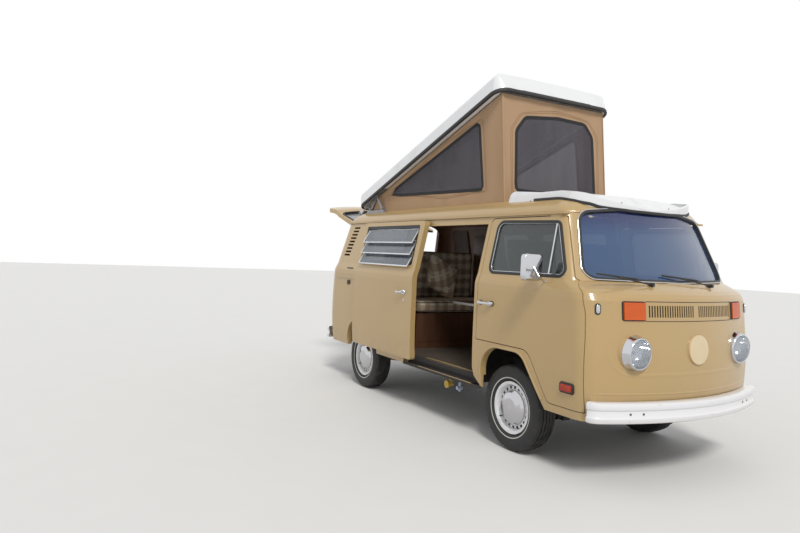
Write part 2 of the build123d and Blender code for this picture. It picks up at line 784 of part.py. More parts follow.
# Door mirrors: a rounded head on a bent arm from the door
arm_foot = (mirror_foot_x, mirror_foot_y, mirror_foot_z)
arm_bend = (mirror_x + 60.0, mirror_y - 10.0, mirror_z - 60.0)
arm_end = (mirror_x + 20.0, mirror_y, mirror_z)
mirror_arm = round_bar(arm_foot, arm_bend, 7.0) + Pos(*arm_bend) * Sphere(7.0)
mirror_arm = mirror_arm + round_bar(arm_bend, arm_end, 7.0)
mirror_arm = mirror_arm + along_y(mirror_foot_x, mirror_foot_z, 15.0, mirror_foot_y - 12, mirror_foot_y + 6)
mirror_arm = mirror_arm - outer_fit
head_outline = [(mirror_y - mirror_half_wide, mirror_z - mirror_half_high),
                (mirror_y + mirror_half_wide, mirror_z - mirror_half_high),
                (mirror_y + mirror_half_wide, mirror_z + mirror_half_high),
                (mirror_y - mirror_half_wide, mirror_z + mirror_half_high)]
mirror_head = front_prism(head_outline, mirror_x - 18, mirror_x + 20, 34.0)
mirror_head = fillet(mirror_head.edges().group_by(Axis.X)[-1], 14.0)
door_mirror = mirror_arm + mirror_head
parts["mirror_left"] = door_mirror
parts["mirror_right"] = mirrored(door_mirror)

# Sliding door, stood open: rearwards and outwards of its opening, on its three carriers
slide_zone = side_prism(
    [
        (slide_front_x - slide_length, slide_low_z), (slide_front_x, slide_low_z),
        (slide_front_x, slide_top_z), (slide_front_x - slide_length, slide_top_z),
    ],
    -far, -near, [30.0, 30.0, 45.0, 30.0],
)
slide_window = [
    (slide_front_x - slide_length + slide_window_rear, window_low_z + 6.0),
    (slide_front_x - slide_window_front, window_low_z + 6.0),
    (slide_front_x - slide_window_front, window_high_z),
    (slide_front_x - slide_length + slide_window_rear, window_high_z),
]
straight_side = Pos(slide_side_shift, 0, 0) * shell
slide_door = (straight_side & slide_zone) - side_prism(slide_window, -far, -near, 22.0)
slide_door = Pos(0, -slide_out, 0) * slide_door
slide_room = Pos(0, -slide_out, 0) * inner_form
for x0, x1, z0, z1, proud in (
    (slide_front_x - slide_length + 16, slide_front_x - slide_length + 66, 1140.0, 1190.0, rail_cover_proud),
    (slide_front_x - 90, slide_front_x - 40, 520.0, 560.0, 0.0),
    (slide_front_x - 90, slide_front_x - 40, 1716.0, 1742.0, 0.0),
):
    carrier = block(x0, x1, -far, -near, z0, z1) & slide_room
    slide_door = slide_door + largest(carrier - body_form(-proud - seat_gap, (LOWER, BELT, UPPER)))
parts["sliding_door"] = slide_door

# Louvre window in the sliding door: a frame, and three glass blades tilted out at the foot
frame_outer = side_prism(grown(slide_window, -glass_fit), -far, -near, 22.0)
frame_inner = side_prism(grown(slide_window, -louvre_frame), -far - 50, -near + 50, 10.0)
louvre_shell = Pos(slide_side_shift, 0, 0) * (body_form(6.0, (BELT, UPPER)) - body_form(36.0, (BELT, UPPER)))
louvre = Pos(0, -slide_out, 0) * ((louvre_shell & frame_outer) - frame_inner)
blade_x0 = slide_window[0][0] + louvre_frame + seat_gap
blade_x1 = slide_window[1][0] - louvre_frame - seat_gap
blade_rise = (window_high_z - window_low_z - 2 * louvre_frame) / blade_count
side_low_y = SECTIONS[6][3]
side_slope = (SECTIONS[6][3] - SECTIONS[7][3]) / (SECTIONS[7][0] - SECTIONS[6][0])
blades = None
for index in range(blade_count):
    top_z = window_low_z + louvre_frame + blade_rise * (index + 1) - 10.0
    top_y = -slide_out - side_low_y + side_slope * (top_z - SECTIONS[6][0]) + 20.0
    blade = block(blade_x0, blade_x1, -3, 3, -blade_wide, 0)
    blade = Pos(0, top_y, top_z) * Rot(-blade_tilt_deg, 0, 0) * blade
    blades = blade if blades is None else blades + blade
parts["louvre_frame"] = louvre
parts["louvre_blades"] = blades

# Tailgate and its glass, turned up about the hinge; engine lid below it
tail_zone = block(-3600, tail_seam_x - 12, -far, far, 600, 1900)
tailgate = (shell & tail_zone) & front_prism(TAILGATE, -3600, -3000, 54.0)
tailgate = tailgate - front_prism(TAIL_WINDOW, -3600, -3000, 60.0)
tail_glass = glass_shell & front_prism(grown(TAIL_WINDOW, -glass_fit), -3600, -3000, 60.0)
tail_glass = tail_glass & tail_zone
knuckle = along_y(*hinge_at, tailgate_knuckle_radius, tailgate_hinge_y - tailgate_knuckle_half,
                  tailgate_hinge_y + tailgate_knuckle_half)
hinge_leaf = side_prism(
    [(tailgate_hinge_x - tailgate_knuckle_radius, tailgate_high_z - 24),
     (tailgate_hinge_x + 36, tailgate_high_z - 24), (tailgate_hinge_x + 36, tailgate_high_z - 4),
     (tailgate_hinge_x + tailgate_knuckle_radius, tailgate_high_z - 4), hinge_at,
     (tailgate_hinge_x - tailgate_knuckle_radius, tailgate_hinge_z)],
    tailgate_hinge_y - tailgate_knuckle_half, tailgate_hinge_y + tailgate_knuckle_half)
knuckle = knuckle + hinge_leaf
knuckle = knuckle - along_y(*hinge_at, tailgate_pin_radius + seat_gap, near, far)
tailgate = tailgate + both_sides(knuckle)
parts["tailgate"] = turned(tailgate, tailgate_hinge_x, tailgate_hinge_z, -tailgate_open_deg)
parts["tailgate_glass"] = turned(tail_glass, tailgate_hinge_x, tailgate_hinge_z, -tailgate_open_deg)
engine_lid = shell & front_prism(ENGINE_LID, -3600, -3000, 34.0)
parts["engine_lid"] = engine_lid


# Bumpers: pressed channels that follow the plan curve and wrap round the corners
def bumper(face_x, radius, way, inset):
    """Plan of a bumper band, drawn in by inset, way 1 for the nose and -1 for the tail."""
    centre = face_x - way * radius
    side_x = corner_arc(centre, radius, bumper_half, bumper_corner, way)[2][0]
    return bowed_plan(face_x, radius, bumper_half, bumper_corner, side_x - way * bumper_return,
                      way, inset)


def bumper_channel(face_x, radius, way):
    tall = bumper_high_z - bumper_low_z
    band = extrude(Pos(0, 0, bumper_low_z) * bumper(face_x, radius, way, 0.0),
                   amount=tall, dir=(0, 0, 1))
    band = fillet(band.edges().filter_by(GeomType.CIRCLE), bumper_edge)
    inside = extrude(Pos(0, 0, bumper_low_z + bumper_skin)
                     * bumper(face_x, radius, way, bumper_skin),
                     amount=tall - 2 * bumper_skin, dir=(0, 0, 1))
    hollow = extrude(Pos(0, 0, bumper_low_z - 5) * bumper(face_x, radius, way, bumper_deep),
                     amount=tall + 10, dir=(0, 0, 1))
    return band - inside - hollow


front_bumper = bumper_channel(bumper_face_x, bumper_plan_radius, 1)
front_iron = block(900, bumper_face_x - 5, rail_y, rail_y + rail_wide, 470, 520)
front_clip = extrude(bumper(bumper_face_x, bumper_plan_radius, 1, 2.0), amount=900, dir=(0, 0, 1))
front_bumper = front_bumper + both_sides(front_iron & front_clip)
parts["front_bumper"] = front_bumper - outer_fit
rear_bumper = bumper_channel(rear_bumper_face_x, rear_bumper_radius, -1)
rear_clip = extrude(bumper(rear_bumper_face_x, rear_bumper_radius, -1, 2.0), amount=900, dir=(0, 0, 1))
rear_iron = rear_clip & block(rear_bumper_face_x + 5, -3300, rail_y, rail_y + rail_wide, 470, 520)
parts["rear_bumper"] = (rear_bumper + both_sides(rear_iron)) - outer_fit

# Head lamps: a bowl let into the nose, a chrome ring and a domed lens, each one turned solid.
# Columns: distance ahead of the lamp's face, radius.
LAMP_PROFILE = [
    (-headlamp_deep, 0.0), (-headlamp_deep, 50.0), (-70.0, headlamp_bowl - seat_gap),
    (seat_gap, headlamp_bowl - seat_gap), (seat_gap, headlamp_radius), (16.0, headlamp_radius),
    (24.0, headlamp_radius - 6), (24.0, headlamp_radius - 14),
    (36.0, 62.0), (43.0, 34.0), (46.0, 0.0),
]
lamp_points = [(headlamp_face_x + x, headlamp_y + r, headlamp_z) for x, r in LAMP_PROFILE]
lamp_face = make_face(Polyline(*lamp_points, close=True))
lamp = revolve(lamp_face, axis=Axis((0, headlamp_y, headlamp_z), (1, 0, 0)))
parts["headlamps"] = both_sides(lamp)

# Turn signals, air grille, nose disc and tail lamps lie on the skin and follow its curve
hug = trim_form - outer_fit
signal = hug & block(700, 1300, signal_y - signal_width / 2, signal_y + signal_width / 2,
                     signal_z - signal_height / 2, signal_z + signal_height / 2)
parts["turn_signals"] = both_sides(signal)
grille = (body_form(2.0, (LOWER,)) - grille_back) & block(
    700, 1300, -grille_half + seat_gap, grille_half - seat_gap,
    grille_low_z + seat_gap, grille_high_z - seat_gap)
bar_pitch = 2 * (grille_half - 26.0) / grille_slots
for index in range(grille_slots):
    y = -grille_half + 26.0 + bar_pitch * (index + 0.5)
    if abs(y) > 22.0:
        grille = grille - block(700, 1300, y - bar_pitch * 0.28, y + bar_pitch * 0.28,
                                grille_low_z + 24, grille_high_z - 24)
parts["air_grille"] = grille
disc = hug & along_x(0, nose_disc_z, nose_disc_radius, 700, 1300)
parts["nose_disc"] = disc
tail_lamp = (trim_form - outer_fit) & block(-3600, -3000, tail_lamp_inner_y, tail_lamp_outer_y,
                                            tail_lamp_low_z, tail_lamp_high_z)
parts["tail_lamps"] = both_sides(tail_lamp)

# Wipers: an arm and blade each side, parked on the foot of the windscreen
wiper = None
for pivot_y in wiper_pivots:
    pivot = (826.0, pivot_y, 1298.0)
    tip = (800.0, pivot_y - wiper_reach, 1344.0)
    arm = round_bar(pivot, tip, 5.0) + along_x(pivot_y, 1298.0, 12.0, 780, 840)
    blade_in = (812.0, pivot_y - wiper_reach + wiper_blade_half, 1334.0)
    blade_out = (772.0, pivot_y - wiper_reach - wiper_blade_half, 1362.0)
    arm = arm + round_bar(blade_in, blade_out, 6.0)
    wiper = arm if wiper is None else wiper + arm
parts["wipers"] = wiper - outer_fit

# Lifting roof: a crowned moulding, shelled from below, with two hinge arms at the rear
def lift_form(inset):
    front = lift_front_x - inset
    rear = lift_rear_x + inset
    half = lift_half - inset
    top = lift_low_z + lift_height - inset
    plan = plan_prism([(rear, -half), (front, -half), (front, half), (rear, half)],
                      lift_low_z - 40, top + 60, lift_corner - inset)
    crown = front_prism(
        [(-half, lift_low_z - inset * 4), (half, lift_low_z - inset * 4), (half - 26, top - lift_crown),
         (0, top), (-half + 26, top - lift_crown)],
        rear, front, [0.0, 0.0, 46.0, 1500.0, 46.0])
    side = side_prism(
        [(rear, lift_low_z - inset * 4), (front, lift_low_z - inset * 4), (front - 34, top + 1),
         (rear + lift_rear_slope, top + 1)],
        -far, far, [0.0, 0.0, 44.0, 44.0])
    return plan & crown & side


lift = lift_form(0.0) - lift_form(lift_skin)
flange = plan_prism(
    [(lift_flange_rear_x, -lift_half + 8), (lift_front_x - 8, -lift_half + 8),
     (lift_front_x - 8, lift_half - 8), (lift_flange_rear_x, lift_half - 8)],
    lift_low_z + 8, lift_low_z + 20, [0.0, 110.0, 110.0, 0.0])
flange = flange - block(-4000, tent_front_x + 80, -tent_half - 3, tent_half + 3, lift_low_z, lift_low_z + 40)
lift = lift + flange - body_form(-lift_clear, (CROWN,))
hinge_arm = side_prism(
    [(lift_hinge_x - 22, lift_hinge_z - 22), (lift_hinge_x + 22, lift_hinge_z - 22),
     (lift_rear_x + 60, lift_low_z + 4), (lift_rear_x + 60, lift_low_z + 50),
     (lift_hinge_x - 22, lift_hinge_z + 22)],
    lift_arm_y - lift_arm_thick / 2, lift_arm_y + lift_arm_thick / 2, [18.0, 10.0, 4.0, 4.0, 18.0])
hinge_arm = hinge_arm - along_y(lift_hinge_x, lift_hinge_z, hinge_pin + seat_gap, 400, 800)
lift = lift + both_sides(hinge_arm)
parts["lifting_roof"] = turned(lift, lift_hinge_x, lift_hinge_z, lift_angle_deg)

# Roof brackets: hinge stands with their pins, and base plates with link feet
stand = None
for y0 in (lift_arm_y - lift_arm_thick / 2 - 1.0 - 8.0, lift_arm_y + lift_arm_thick / 2 + 1.0):
    cheek = side_prism(
        [(lift_hinge_x - 20, 1780), (lift_hinge_x + 44, 1780), (lift_hinge_x + 14, lift_hinge_z + 14),
         (lift_hinge_x - 14, lift_hinge_z + 14)],
        y0, y0 + 8.0, [0.0, 0.0, 12.0, 12.0])
    stand = cheek if stand is None else stand + cheek
stand = stand + along_y(lift_hinge_x, lift_hinge_z, hinge_pin, lift_arm_y - 22, lift_arm_y + 22)
base = block(bracket_rear_x, bracket_front_x, bracket_y - 20, bracket_y + 18, 1780, bracket_base_z)
front_foot = along_y(link_front_foot_x, link_foot_z, hinge_pin, bracket_y - 16, bracket_y + 16)
rear_foot = along_y(link_rear_foot_x, link_foot_z, hinge_pin, bracket_y - 16, bracket_y + 16)
ears = None
for foot_x in (link_front_foot_x, link_rear_foot_x):
    for y0, y1 in ((bracket_y - 20.0, bracket_y - 14.0), (bracket_y + 14.0, bracket_y + 18.0)):
        ear = block(foot_x - 12, foot_x + 12, y0, y1, bracket_base_z - 1, link_foot_z + 12)
        ears = ear if ears is None else ears + ear
brackets = both_sides((stand + base + ears) - outer_fit) + both_sides(front_foot + rear_foot)
parts["roof_brackets"] = brackets


def link(foot_x, y0):
    long = math.hypot(link_apex[0] - foot_x, link_apex[1] - link_foot_z)
    slope = math.degrees(math.atan2(link_apex[1] - link_foot_z, link_apex[0] - foot_x))
    bar = block(0, long, y0, y0 + link_thick, -link_wide / 2, link_wide / 2)
    bar = bar + along_y(0, 0, link_wide / 2, y0, y0 + link_thick)
    bar = bar + along_y(long, 0, link_wide / 2, y0, y0 + link_thick)
    bar = bar - along_y(0, 0, hinge_pin + seat_gap, y0 - 5, y0 + link_thick + 5)
    return Pos(foot_x, 0, link_foot_z) * Rot(0, -slope, 0) * bar


parts["link_front"] = both_sides(link(link_front_foot_x, bracket_y + 3.0))
parts["link_rear"] = both_sides(link(link_rear_foot_x, bracket_y - 3.0 - link_thick))

# Luggage tray over the cab: a deep moulding that slopes to the front, seated on the roof
def tray_form(inset):
    side = side_prism(
        [(tray_rear_x - 30 + inset, tray_base_z), (tray_front_x - inset, tray_base_z),
         (tray_front_x - inset, tray_lip_z), (tray_front_x - 120 - inset, tray_lip_z + 86 - inset),
         (tray_rear_x + inset, tray_high_z - inset)],
        -far, far, [0.0, 0.0, 24.0, 120.0, 34.0])
    plan = Pos(0, 0, tray_base_z - 5) * extrude(
        bowed_plan(tray_front_x, 1500.0, tray_half, 230.0, tray_rear_x - 60, 1, inset),
        amount=400, dir=(0, 0, 1))
    crown = front_prism(
        [(-tray_half + inset, tray_base_z - 10), (tray_half - inset, tray_base_z - 10),
         (tray_half - 38 - inset, tray_high_z - 34 - inset), (0, tray_high_z + 6 - inset),
         (-tray_half + 38 + inset, tray_high_z - 34 - inset)],
        -600, 700, [0.0, 0.0, 60.0, 1200.0, 60.0])
    return side & plan & crown


tray_hollow = tray_form(tray_skin) + Pos(0, 0, 70) * tray_form(tray_skin)
tray_hollow = tray_hollow - body_form(-tray_skin)
parts["luggage_tray"] = largest((tray_form(0.0) - tray_hollow) - outer_fit)

# Tent: a closed skin of cloth between the roof and the lifting roof
tent_top_rear = turned_place(
    (lift_rear_x + 190, lift_low_z + 4), lift_hinge_x, lift_hinge_z, lift_angle_deg)
tent_top_front = turned_place(
    (lift_front_x - 46, lift_low_z + 4), lift_hinge_x, lift_hinge_z, lift_angle_deg)


def tent_form(inset):
    return side_prism(
        [(tent_rear_x + inset, tent_low_z), (tent_front_x - inset, tent_low_z),
         (tent_top_front[0] - inset, tent_top_front[1]), (tent_top_rear[0] + inset, tent_top_rear[1])],
        -tent_half + inset, tent_half - inset)


tent = tent_form(0.0) - (Pos(0, 0, -20) * tent_form(tent_skin) + Pos(0, 0, 20) * tent_form(tent_skin))
parts["tent"] = tent - outer_fit

# Dashboard with the steering column, and the steering wheel
dash = block(dash_rear_x, 900, -dash_half, dash_half, 1110, 1285) & inner_fit
column_way = Vector(-math.sin(math.radians(steering_tilt_deg)), 0,
                    math.cos(math.radians(steering_tilt_deg)))
wheel_centre = Vector(steering_wheel_x, steering_wheel_y, steering_wheel_z)
column_foot = wheel_centre - column_way * (
    (steering_wheel_z - cab_floor_top_z - 14.0) / column_way.Z)
column_head = wheel_centre - column_way * column_short
column = round_bar(tuple(column_foot), tuple(column_head), column_radius)
bracket = round_bar(tuple(wheel_centre - column_way * 200.0),
                    (dash_rear_x + 30, steering_wheel_y, 1130.0), 16.0)
floor_flange = block(column_foot.X - 50, column_foot.X + 50, steering_wheel_y - 50,
                     steering_wheel_y + 50, cab_floor_top_z + seat_gap, cab_floor_top_z + 14)
parts["dashboard"] = dash + column + bracket + floor_flange
rim_plane = Plane(tuple(wheel_centre), x_dir=(0, 1, 0), z_dir=tuple(column_way))
steering = rim_plane * Torus(steering_wheel_radius, 13.0)
steering = steering + rim_plane * (Pos(0, 0, -35) * Cylinder(44.0, 60.0))
steering = steering + rim_plane * (Pos(0, 0, -10) * Box(2 * steering_wheel_radius, 46.0, 12.0))
steering = steering - round_bar(tuple(column_foot), tuple(column_head + column_way * seat_gap),
                                column_radius + seat_gap)
parts["steering_wheel"] = steering

# Cab seats: cushion and back on a steel box over the wheel box
seats = None
for seat_y in (-seat_middle_y, seat_middle_y):
    cushion = block(seat_rear_x, seat_front_x, seat_y - seat_half, seat_y + seat_half,
                    seat_low_z, seat_low_z + 130)
    back = block(-60, 60, seat_y - seat_half, seat_y + seat_half, 0, 640)
    back = Pos(seat_rear_x + 50, 0, seat_low_z + 130.3) * Rot(0, -seat_lean_deg, 0) * back
    back = back & block(-900, 900, -far, far, seat_low_z + 130.3, 1700)
    seat = fillet(cushion.edges().filter_by(Axis.X), 30.0) + back
    seats = seat if seats is None else seats + seat
parts["cab_seats"] = seats
pedestals = None
for seat_y in (-seat_middle_y, seat_middle_y):
    box = block(seat_rear_x + 40, seat_front_x - 60, seat_y - seat_half + 40, seat_y + seat_half - 40,
                cab_floor_top_z + seat_gap, seat_low_z - seat_gap)
    wheel_box = block(arch_box_rear - arch_skin, arch_box_front + arch_skin,
                      arch_inner_y - arch_skin - seat_gap, far, 300, arch_box_top_z + arch_skin + seat_gap)
    box = box - both_sides(wheel_box)
    pedestals = box if pedestals is None else pedestals + box
parts["seat_boxes"] = pedestals

# Living quarters: kitchen cabinet, bench with cushions, table
kitchen = block(kitchen_rear_x, kitchen_front_x, kitchen_inner_y, far, floor_top_z + seat_gap,
                kitchen_top_z) & inner_fit
parts["kitchen_cabinet"] = kitchen
bench = block(engine_wall_x + seat_gap, bench_front_x, bench_right_y, far, floor_top_z + seat_gap,
              bench_top_z) & body_form(wall + 2 * seat_gap)
rear_box_clear = block(engine_wall_x - 1, 0, rear_arch_inner_y - arch_skin - seat_gap, far, 300,
                       deck_top_z + seat_gap)
bench = bench - both_sides(rear_box_clear)
parts["bench"] = largest(bench)
seat_pad = block(bench_rear_pad_x, bench_front_x + 20, bench_right_y, cushion_left_y,
                 bench_top_z + seat_gap, bench_top_z + cushion_thick)
back_pad = block(engine_wall_x + 60, bench_rear_pad_x - seat_gap, bench_right_y, cushion_left_y,
                 deck_top_z + seat_gap, deck_top_z + 520)
deck_pad = block(-3190, engine_wall_x + 59, bench_right_y, cushion_left_y,
                 deck_top_z + seat_gap, deck_top_z + 90)
parts["bench_cushions"] = seat_pad + back_pad + deck_pad
wardrobe = block(wardrobe_rear_x, wardrobe_front_x, cushion_left_y + 8, far, bench_top_z + seat_gap,
                 wardrobe_top_z) & body_form(wall + 2 * seat_gap)
parts["wardrobe"] = wardrobe - both_sides(rear_box_clear)
table = block(table_rear_x, table_front_x, table_right_y, table_left_y, table_z - 22, table_z)
table = fillet(table.edges().filter_by(Axis.Z), 60.0)
leg_x = (table_rear_x + table_front_x) / 2
leg = upright(leg_x, table_left_y - 90, 22.0, floor_top_z + seat_gap, table_z - 10)
parts["table"] = table + leg

# Water outlets under the right side: a filler with a flat cap, and a drain tap
outlets = along_y(cap_x, outlet_z, 34.0, outlet_y - 8, outlet_y + 8)
outlets = outlets + along_y(cap_x, outlet_z, 20.0, outlet_y, outlet_y + 60)
outlets = outlets + upright(cap_x, outlet_y + 36, 17.0, outlet_z, floor_top_z - floor_thick - seat_gap)
tap = along_y(tap_x, outlet_z, 16.0, outlet_y - 12, outlet_y + 40)
tap = tap + upright(tap_x, outlet_y + 18, 12.0, outlet_z - 30, floor_top_z - floor_thick - seat_gap)
parts["water_outlets"] = outlets + tap

# Front axle: twin tubes, end plates and trailing arms with the kingpin eyes
axle = None
for tube_z in (beam_low_z, beam_high_z):
    tube = along_y(beam_x, tube_z, beam_radius, -beam_half, beam_half)
    axle = tube if axle is None else axle + tube
    for side in (-1, 1):
        arm = round_bar((beam_x, side * (beam_half - 6), tube_z), (0, side * kingpin_y, tube_z), 16.0)
        eye = upright(0, side * kingpin_y, 22.0, tube_z - 17, tube_z + 17)
        axle = axle + arm + eye
for side in (-1, 1):
    axle = axle - upright(0, side * kingpin_y, kingpin_radius + seat_gap, 200, 460)
plate = block(beam_x - 40, beam_x + 40, rail_y, rail_y + rail_wide,
              beam_low_z - 30, cab_rail_low_z - seat_gap)
axle = axle + both_sides(plate)
parts["front_axle"] = axle

# Steering knuckles: kingpin, upright, stub axle and brake backing plate
knuckle = upright(0, kingpin_y, kingpin_radius, beam_low_z - 20, beam_high_z + 20)
knuckle = knuckle + upright(0, kingpin_y, 34.0, beam_low_z + 17 + 1, beam_high_z - 17 - 1)
knuckle = knuckle + along_y(0, tyre_radius, stub_radius, kingpin_y, front_track_half + 60)
knuckle = knuckle + along_y(0, tyre_radius, 118.0, kingpin_y + 24, kingpin_y + 32)
arm_out = block(-130, -10, kingpin_y - 44, kingpin_y - 24, tyre_radius - 14, tyre_radius + 14)
knuckle = knuckle + arm_out + block(-34, 0, kingpin_y - 44, kingpin_y, tyre_radius - 14, tyre_radius + 14)
parts["knuckle_left"] = knuckle
parts["knuckle_right"] = mirrored(knuckle)

# Rear axle: gearbox, half shafts, trailing arms and hub carriers
gearbox = fillet(block(engine_front_x + seat_gap, rear_axle + 420, -130, 130, 235, 400).edges(), 30.0)
rear = gearbox + along_y(rear_axle, tyre_radius, 26.0, -rear_track_half + 60, rear_track_half - 60)
for side in (-1, 1):
    carrier = along_y(rear_axle, tyre_radius, 62.0, min(side * 560, side * 640), max(side * 560, side * 640))
    stub = along_y(rear_axle, tyre_radius, stub_radius, min(side * 630, side * (rear_track_half + 60)),
                   max(side * 630, side * (rear_track_half + 60)))
    arm = round_bar((rear_axle + 20, side * 590, tyre_radius), (rear_axle + 440, side * 420, 330), 24.0)
    rear = rear + carrier + stub + arm
cross = along_y(rear_axle + 440, 330, 30.0, -430, 430)
yoke = block(rear_axle + 400, rear_axle + 480, -rail_y - 10, rail_y + 10, 330, rail_low_z - seat_gap)
rear = rear + cross + yoke
hanger = block(rear_axle + 400, rear_axle + 480, rail_y, rail_y + rail_wide, 330, rail_low_z - seat_gap)
rear = rear + both_sides(hanger)
parts["rear_axle"] = rear

# Engine, one plain block on its cross bar, and the exhaust behind it
engine = fillet(block(-3180, engine_front_x, -290, 290, 300, 660).edges(), 24.0)
engine = engine + block(-3140, -3080, -rail_y + seat_gap, rail_y - seat_gap, 460, 500)
parts["engine"] = engine
muffler = fillet(block(-3310, -3200, -300, 300, 330, 470).edges().filter_by(Axis.Y), 50.0)
for side in (-1, 1):
    muffler = muffler + along_x(side * 200, 380, 22.0, -3220, -3180 - seat_gap)
muffler = muffler + along_x(230, 360, 18.0, -3440, -3290)
parts["exhaust"] = muffler

# Wheels: pressed rims with their hub caps, and the tyres round them
RIM_PROFILE = [
    (stub_radius + seat_gap, -14), (62, -14), (62, 8), (120, 8), (132, 34), (150, 30), (rim_radius - 10, 12),
    (rim_radius - 14, -60), (rim_radius, -72), (flange_radius, -76), (flange_radius, -68),
    (rim_radius, -62), (rim_radius, 62), (flange_radius, 68), (flange_radius, 76),
    (rim_radius - 4, 74), (rim_radius - 14, 44), (rim_radius - 22, 30), (156, 42), (134, 46), (130, 60),
    (112, 78), (70, 92), (0, 96), (0, 72), (stub_radius + seat_gap, 66),
]
rim = spun(RIM_PROFILE, 0, 0, 0)
for index in range(rim_slot_count):
    slot = block(rim_slot_radius - 6, rim_slot_radius + 6, 10, 70, -7, 7)
    rim = rim - Rot(0, index * 360 / rim_slot_count, 0) * slot


# Half of the tyre's outline from bead to tread. Columns: radius, distance from the middle.
TYRE_PROFILE = [
    (flange_radius + 3, 61.0), (flange_radius + 10, 76.0), (226.0, 90.0), (254.0, tyre_width / 2),
    (290.0, 88.0), (tyre_radius - 9, 78.0), (tyre_radius, 62.0),
]


def tyre_ring(radius, offset):
    plane = Plane((0, offset, 0), x_dir=(1, 0, 0), z_dir=(0, 1, 0))
    return plane * Rot(0, 0, 180 / tyre_sides) * RegularPolygon(radius, tyre_sides, major_radius=False)


def tyre_solid():
    rows = [(r, -offset) for r, offset in TYRE_PROFILE] + [(r, offset) for r, offset in TYRE_PROFILE[::-1]]
    outside = loft([tyre_ring(r, offset) for r, offset in rows], ruled=True)
    inside = extrude(tyre_ring(rim_radius + 2 * seat_gap, -tyre_width), amount=2 * tyre_width, dir=(0, 1, 0))
    return outside - inside


tyre = tyre_solid()
for name, x, side, track in (
    ("front_left", 0.0, 1, front_track_half), ("front_right", 0.0, -1, front_track_half),
    ("rear_left", rear_axle, 1, rear_track_half), ("rear_right", rear_axle, -1, rear_track_half),
):
    outward = rim if side > 0 else mirrored(rim)
    parts["rim_" + name] = Pos(x, side * track, tyre_radius) * outward
    parts["tyre_" + name] = Pos(x, side * track, tyre_radius) * tyre

for name, shape in parts.items():
    print(name, len(shape.solids()), [round(s.volume / 1e6, 2) for s in shape.solids()])
os.makedirs("parts", exist_ok=True)
for name, shape in parts.items():
    export_step(Pos(front_axle_x, 0, 0) * shape, "parts/" + name + ".step")
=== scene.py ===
import math

import bmesh
import bpy
from mathutils import Matrix, Vector
from mathutils.bvhtree import BVHTree


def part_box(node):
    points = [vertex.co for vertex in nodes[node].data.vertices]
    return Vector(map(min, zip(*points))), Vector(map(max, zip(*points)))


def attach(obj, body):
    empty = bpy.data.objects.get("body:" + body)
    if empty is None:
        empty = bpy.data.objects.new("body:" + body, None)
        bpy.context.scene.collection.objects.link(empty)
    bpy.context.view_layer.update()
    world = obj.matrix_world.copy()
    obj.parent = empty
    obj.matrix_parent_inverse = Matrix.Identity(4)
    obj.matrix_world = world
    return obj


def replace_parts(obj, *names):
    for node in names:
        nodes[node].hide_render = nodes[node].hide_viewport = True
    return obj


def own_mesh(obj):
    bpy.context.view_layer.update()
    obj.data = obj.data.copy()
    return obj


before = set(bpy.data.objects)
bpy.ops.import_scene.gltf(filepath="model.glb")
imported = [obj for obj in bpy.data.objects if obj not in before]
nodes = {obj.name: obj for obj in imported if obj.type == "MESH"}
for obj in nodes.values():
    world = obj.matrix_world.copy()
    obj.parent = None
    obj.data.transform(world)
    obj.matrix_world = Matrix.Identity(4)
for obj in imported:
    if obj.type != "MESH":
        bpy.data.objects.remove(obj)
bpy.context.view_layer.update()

# The view of the photograph: a wide lens at eye height, off the van's right front corner,
# held a little out of level.
view_yaw = math.radians(60.27)
view_pitch = math.radians(1.02)
view_roll = math.radians(2.44)
back = Vector((
    math.sin(view_yaw) * math.cos(view_pitch),
    -math.cos(view_yaw) * math.cos(view_pitch),
    math.sin(view_pitch),
))
level = (-back).cross(Vector((0, 0, 1))).normalized()
rise = level.cross(-back)
right = level * math.cos(view_roll) + rise * math.sin(view_roll)
up = rise * math.cos(view_roll) - level * math.sin(view_roll)
turn = Matrix((right, up, back)).transposed().to_4x4()
camera_data = bpy.data.cameras.new("camera")
camera_data.sensor_width = 36.0
camera_data.lens = 28.69
camera = bpy.data.objects.new("camera", camera_data)
camera.matrix_world = Matrix.Translation((5.158, -3.888, 1.426)) @ turn
bpy.context.scene.collection.objects.link(camera)
bpy.context.scene.camera = camera
bpy.context.scene.view_settings.view_transform = "Standard"

# Studio light: an even pale surround and one soft sun from ahead. What looks at the surround
# straight, or by reflection or through glass, sees white.
world = bpy.data.worlds.new("surround")
bpy.context.scene.world = world
world.use_nodes = True
tree = world.node_tree
tree.nodes.clear()
path = tree.nodes.new("ShaderNodeLightPath")
seen = path.outputs["Is Camera Ray"]
for ray in ("Is Glossy Ray", "Is Transmission Ray"):
    either = tree.nodes.new("ShaderNodeMath")
    either.operation = "MAXIMUM"
    tree.links.new(seen, either.inputs[0])
    tree.links.new(path.outputs[ray], either.inputs[1])
    seen = either.outputs[0]
choose = tree.nodes.new("ShaderNodeMixShader")
tree.links.new(seen, choose.inputs[0])
for place, colour, strength in ((1, (0.97, 0.98, 1.0, 1.0), 0.55), (2, (1.0, 1.0, 1.0, 1.0), 1.0)):
    sky = tree.nodes.new("ShaderNodeBackground")
    sky.inputs["Color"].default_value = colour
    sky.inputs["Strength"].default_value = strength
    tree.links.new(sky.outputs[0], choose.inputs[place])
sky_out = tree.nodes.new("ShaderNodeOutputWorld")
tree.links.new(choose.outputs[0], sky_out.inputs["Surface"])
sun_data = bpy.data.lights.new("sun", "SUN")
sun_data.energy = 1.75
sun_data.angle = math.radians(14.0)
sun_data.color = (1.0, 0.975, 0.93)
sun = bpy.data.objects.new("sun", sun_data)
sun.matrix_world = Vector((1.0, -0.42, 1.15)).to_track_quat("Z", "Y").to_matrix().to_4x4()
bpy.context.scene.collection.objects.link(sun)


